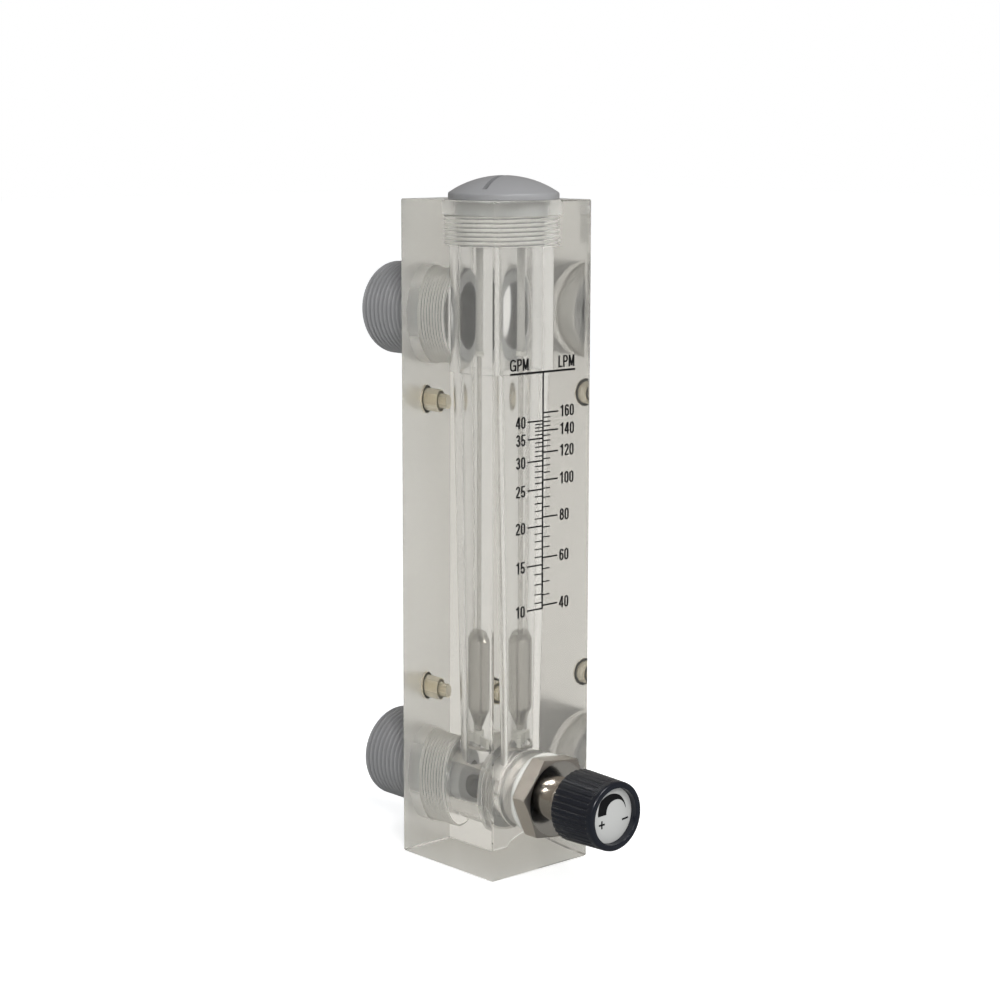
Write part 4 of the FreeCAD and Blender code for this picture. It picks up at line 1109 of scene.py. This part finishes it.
def sign_forms():
    """Each sign's width and its strokes, as points of the middle line and whether they close."""
    half = SIGN_STROKE / 2
    left, right = half, DIGIT - half
    middle, reach = DIGIT / 2, DIGIT / 2 - half
    low, high = half, 1 - half
    wide, cap, em = 0.55, 0.42, 0.51
    capital_right, capital_middle = wide - half, wide / 2
    capital_reach = capital_middle - half
    upright = path((half, 0), (half, 1))
    return {
        "0": (DIGIT, [loop(left, right, low, high, 0.2)]),
        "1": (DIGIT, [path((0.237, 0), (0.237, 1)), path((0.05, 0.775), (0.13, 0.80), (0.237, 0.93))]),
        "2": (DIGIT, [
            path(arc((middle, 0.74), (reach, high - 0.74), 185, -20),
                 (0.27, 0.54), (0.1, 0.2), (0.068, low)),
            path((0.015, low), (DIGIT, low)),
        ]),
        "3": (DIGIT, [
            path(arc((middle - 0.01, 0.735), (reach - 0.01, high - 0.735), 175, -75), (0.13, 0.53)),
            path((0.13, 0.53), arc((middle, 0.29), (reach, 0.29 - low), 72, -175)),
        ]),
        "4": (DIGIT + 0.02, [
            path((0.272, 0), (0.272, 1)), path((0.0, 0.285), (DIGIT + 0.02, 0.285)),
            path((0.245, 0.96), (0.05, 0.31)),
        ]),
        "5": (DIGIT, [
            path((0.06, high), (0.35, high)),
            path((0.09, high), (0.065, 0.47),
                 arc((middle - 0.005, 0.31), (reach + 0.005, 0.31 - low), 125, -172)),
        ]),
        "6": (DIGIT, [
            loop(left, right, low, 0.6, 0.2),
            path((left, 0.3), (left, 0.7), arc((middle, 0.73), (reach, high - 0.73), 175, 10)),
        ]),
        "8": (DIGIT, [
            loop(left + 0.012, right - 0.012, 0.53, high, 0.19), loop(left, right, low, 0.53, 0.2),
        ]),
        "G": (wide, [
            path(arc((capital_middle, 0.66), (capital_reach, high - 0.66), 22, 180),
                 arc((capital_middle, 0.34), (capital_reach, 0.34 - low), 180, 335)),
            path((capital_right, 0.02), (capital_right, 0.51)),
            path((capital_middle, 0.47), (capital_right, 0.47)),
        ]),
        "P": (cap, [upright, path(
            (half, high), (0.22, high), arc((0.22, 0.70), (cap - half - 0.22, high - 0.70), 90, -90),
            (half, 0.4615),
        )]),
        "M": (em, [
            upright, path((em - half, 0), (em - half, 1)),
            path((0.085, 0.97), (0.255, 0.09)), path((0.425, 0.97), (0.255, 0.09)),
        ]),
        "L": (0.36, [upright, path((half, low), (0.36, low))]),
    }


SIGNS = sign_forms()


def text_width(text):
    """The width of a word in millimetres."""
    total = sum(SIGNS[sign][0] for sign in text) + SIGN_GAP * (len(text) - 1)
    return total * SIGN_STRETCH * SIGN_HEIGHT


def lettering(text, start, height):
    """Slabs of ink for a word that starts at start and has its middle at the height given."""
    slabs = []
    across = start
    for sign in text:
        width, strokes = SIGNS[sign]
        for path, closed in strokes:
            slabs.append(stroke_slab(path, closed, across, height - SIGN_HEIGHT / 2))
        across += (width + SIGN_GAP) * SIGN_STRETCH * SIGN_HEIGHT
    return slabs


def stroke_slab(path, closed, across, foot):
    """A slab of ink along a path, as wide as the stroke and mitred at the bends."""
    path = [Vector(point) for number, point in enumerate(path)
            if number == 0 or (Vector(point) - Vector(path[number - 1])).length > SAME_POINT]
    if closed and (path[0] - path[-1]).length < SAME_POINT:
        path.pop()
    count = len(path)
    pairs = []
    for index, point in enumerate(path):
        ways = []
        if index or closed:
            ways.append((point - path[index - 1]).normalized())
        if index < count - 1 or closed:
            ways.append((path[(index + 1) % count] - point).normalized())
        way = sum(ways, Vector((0, 0))).normalized()
        side = Vector((-way.y, way.x))
        reach = SIGN_STROKE / 2 / max(side.dot(Vector((-ways[0].y, ways[0].x))), 0.4)
        pairs.append((point + side * reach, point - side * reach))
    near, far = FRONT - INK_LIFT - INK_THICK, FRONT - INK_LIFT
    points = []
    for pair in pairs:
        for corner in pair:
            x, z = across + corner.x * SIGN_STRETCH * SIGN_HEIGHT, foot + corner.y * SIGN_HEIGHT
            points += [(x, near, z), (x, far, z)]
    faces = []
    for index in range(count if closed else count - 1):
        here, there = 4 * index, 4 * ((index + 1) % count)
        for first, second in ((0, 2), (2, 3), (3, 1), (1, 0)):
            faces.append([here + first, here + second, there + second, there + first])
    if not closed:
        last = 4 * (count - 1)
        faces += [[0, 1, 3, 2], [last, last + 2, last + 3, last + 1]]
    return points, faces


# Inserts

def make_inserts():
    outer, shoulder = INSERT_RADIUS - GAP, BACK - INSERT_FLANGE
    for name, height in (("lower", LOWER_INSERT_Z), ("upper", UPPER_INSERT_Z)):
        lathe(name + "_brass_insert", [
            (INSERT_DRILL_RADIUS, INSERT_LOW.y, 0.3), (outer, INSERT_LOW.y, 0.3), (outer, shoulder),
            (INSERT_HIGH.x, shoulder), (INSERT_HIGH.x, BACK, 0.15), (INSERT_DRILL_RADIUS, BACK, 0.3),
        ], on_level(height), BRASS, "meter", name + "_insert")


# Frame nodes that keep their own shape

def dress_nodes():
    finishes = (("valve_seat", RUBBER), ("outlet_seal", GREY_RUBBER), ("inlet_seal", GREY_RUBBER),
                ("plug_seal", GREY_RUBBER), ("disc_seal", RUBBER), ("stem_packing", PTFE),
                ("valve_disc", NICKEL_TURNED), ("disc_clip", STEEL), ("knob_bush", BRASS),
                ("knob_screw", STEEL))
    for name, material in finishes:
        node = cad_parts[name]
        node.data.materials.clear()
        node.data.materials.append(material)


# Camera, floor and light

CAMERA_PLACE = Vector((-533.818, -595.816, 258.958))
CAMERA_YAW = 41.974755
CAMERA_PITCH = -9.312631
CAMERA_ROLL = 0.117897
CAMERA_LENS = 83.697
CAMERA_SENSOR = 36.0


def make_camera():
    """The photograph's view: nearly level, from the left of the scale."""
    data = bpy.data.cameras.new("camera")
    data.lens = CAMERA_LENS
    data.sensor_width = CAMERA_SENSOR
    data.clip_start = 0.01
    data.clip_end = 50.0
    camera = bpy.data.objects.new("camera", data)
    bpy.context.scene.collection.objects.link(camera)
    turn = Matrix.Rotation(math.radians(-CAMERA_YAW), 4, "Z")
    turn @= Matrix.Rotation(math.radians(90 + CAMERA_PITCH), 4, "X")
    turn @= Matrix.Rotation(math.radians(CAMERA_ROLL), 4, "Z")
    camera.matrix_world = Matrix.Translation(CAMERA_PLACE * MM) @ turn
    bpy.context.scene.camera = camera


FLOOR_REACH = 6.0
FLOOR_DROP = 0.0005
FLOOR_GLOW = 0.56
FLOOR_PALE = 0.64


def make_floor():
    """A pale floor, wide enough to meet the background."""
    points = [(-FLOOR_REACH, -FLOOR_REACH, 0), (FLOOR_REACH, -FLOOR_REACH, 0),
              (FLOOR_REACH, FLOOR_REACH, 0), (-FLOOR_REACH, FLOOR_REACH, 0)]
    floor = solid("pale_floor", points, [(0, 1, 2, 3)])
    floor.location.z = -FLOOR_DROP
    recipe = new_recipe("pale_floor")

    def glowing(base, color, strength):
        glow = recipe.node("Emission", Color=color, Strength=strength).outputs[0]
        return recipe.node("AddShader", base, glow).outputs[0]

    lit = recipe.diffuse((0.86, 0.86, 0.85, 1))
    # Painted shade: reflections see the floor far darker than it is lit
    floor_painted_dark_in_reflections = recipe.diffuse((0.30, 0.30, 0.29, 1))
    white = glowing(lit, (1, 1, 1, 1), FLOOR_GLOW)
    pale = glowing(recipe.diffuse((0.38, 0.38, 0.37, 1)), (1, 0.985, 0.95, 1), FLOOR_PALE)
    floor.data.materials.append(recipe.by_ray(lit, floor_painted_dark_in_reflections, pale, white))


FILL = (0.95, 0.97, 1.0, 1)
FILL_STRENGTH = 0.55
BEHIND = (0.67, 0.74, 0.0)
BEHIND_REACH = (0.9, 0.97)
THIN_DEPTH = 3.5
ROOM = (0.31, 0.29, 0.27)
PALE = (0.88, 0.87, 0.84)
DARK = (0.05, 0.05, 0.052)
DARK_MIDDLE = (-25.0, 25.0)
DARK_REACH = (15.0, 24.0)


def direction(azimuth, elevation):
    """The unit vector for a bearing from the front towards the right, and a height, in degrees."""
    azimuth, elevation = math.radians(azimuth), math.radians(elevation)
    return Vector((math.sin(azimuth) * math.cos(elevation), -math.cos(azimuth) * math.cos(elevation),
                   math.sin(elevation)))


def make_world():
    """Soft light all round, with a white background for what looks at it straight or through glass."""
    world = bpy.data.worlds.new("studio")
    bpy.context.scene.world = world
    recipe = Recipe(world, "OutputWorld")
    look = recipe.node("TexCoord").outputs["Generated"]

    def near(way, low, high):
        """From 0 to 1 as the look comes round to the way, between two cosines."""
        facing = recipe.node("VectorMath", look, way, operation="DOT_PRODUCT").outputs["Value"]
        ranged = recipe.node("MapRange", Value=facing, From_Min=low, From_Max=high,
                             interpolation_type="SMOOTHSTEP")
        return ranged.outputs["Result"]

    def background(color, strength=1.0):
        return recipe.node("Background", color, strength).outputs[0]

    # What shows through the glass: white behind the object where it is thin, paler elsewhere
    depth = recipe.node("LightPath").outputs["Transmission Depth"]
    thin = recipe.math("LESS_THAN", depth, THIN_DEPTH)
    through = recipe.mix(recipe.math("MULTIPLY", near(BEHIND, *BEHIND_REACH), thin), PALE, (1, 1, 1))
    # What polished metal shows: a beige room with a dark part on the viewer's side
    reach = [math.cos(math.radians(angle)) for angle in DARK_REACH]
    room = recipe.mix(near(direction(*DARK_MIDDLE), reach[1], reach[0]), ROOM, DARK)
    recipe.by_ray(background(FILL, FILL_STRENGTH), background(room), background(through),
                  background((1, 1, 1, 1)))


LAMP_DISTANCE = 1.2
LAMP_TARGET = Vector((0.0, -0.03, 0.08))
LAMPS = (("high", (2.0, 45.5), 0.34, 6.0), ("side", (-37.0, 28.7), 0.26, 5.5))


def make_lamps():
    """Two soft lamps in front: one high over the scale, one to its left."""
    for name, way, size, power in LAMPS:
        data = bpy.data.lights.new(name, "AREA")
        data.shape = "RECTANGLE"
        data.size = size
        data.size_y = size
        data.energy = power
        lamp = bpy.data.objects.new(name, data)
        lamp.location = LAMP_TARGET + direction(*way) * LAMP_DISTANCE
        lamp.rotation_euler = (LAMP_TARGET - lamp.location).to_track_quat("-Z", "Y").to_euler()
        bpy.context.scene.collection.objects.link(lamp)


def main():
    bpy.context.scene.view_settings.view_transform = "Standard"
    for make in (make_camera, make_world, make_floor, make_lamps, make_block, make_fittings, make_plug,
                 make_tube_parts, make_bonnet, make_valve_parts, make_inserts, make_scale, dress_nodes):
        make()


main()
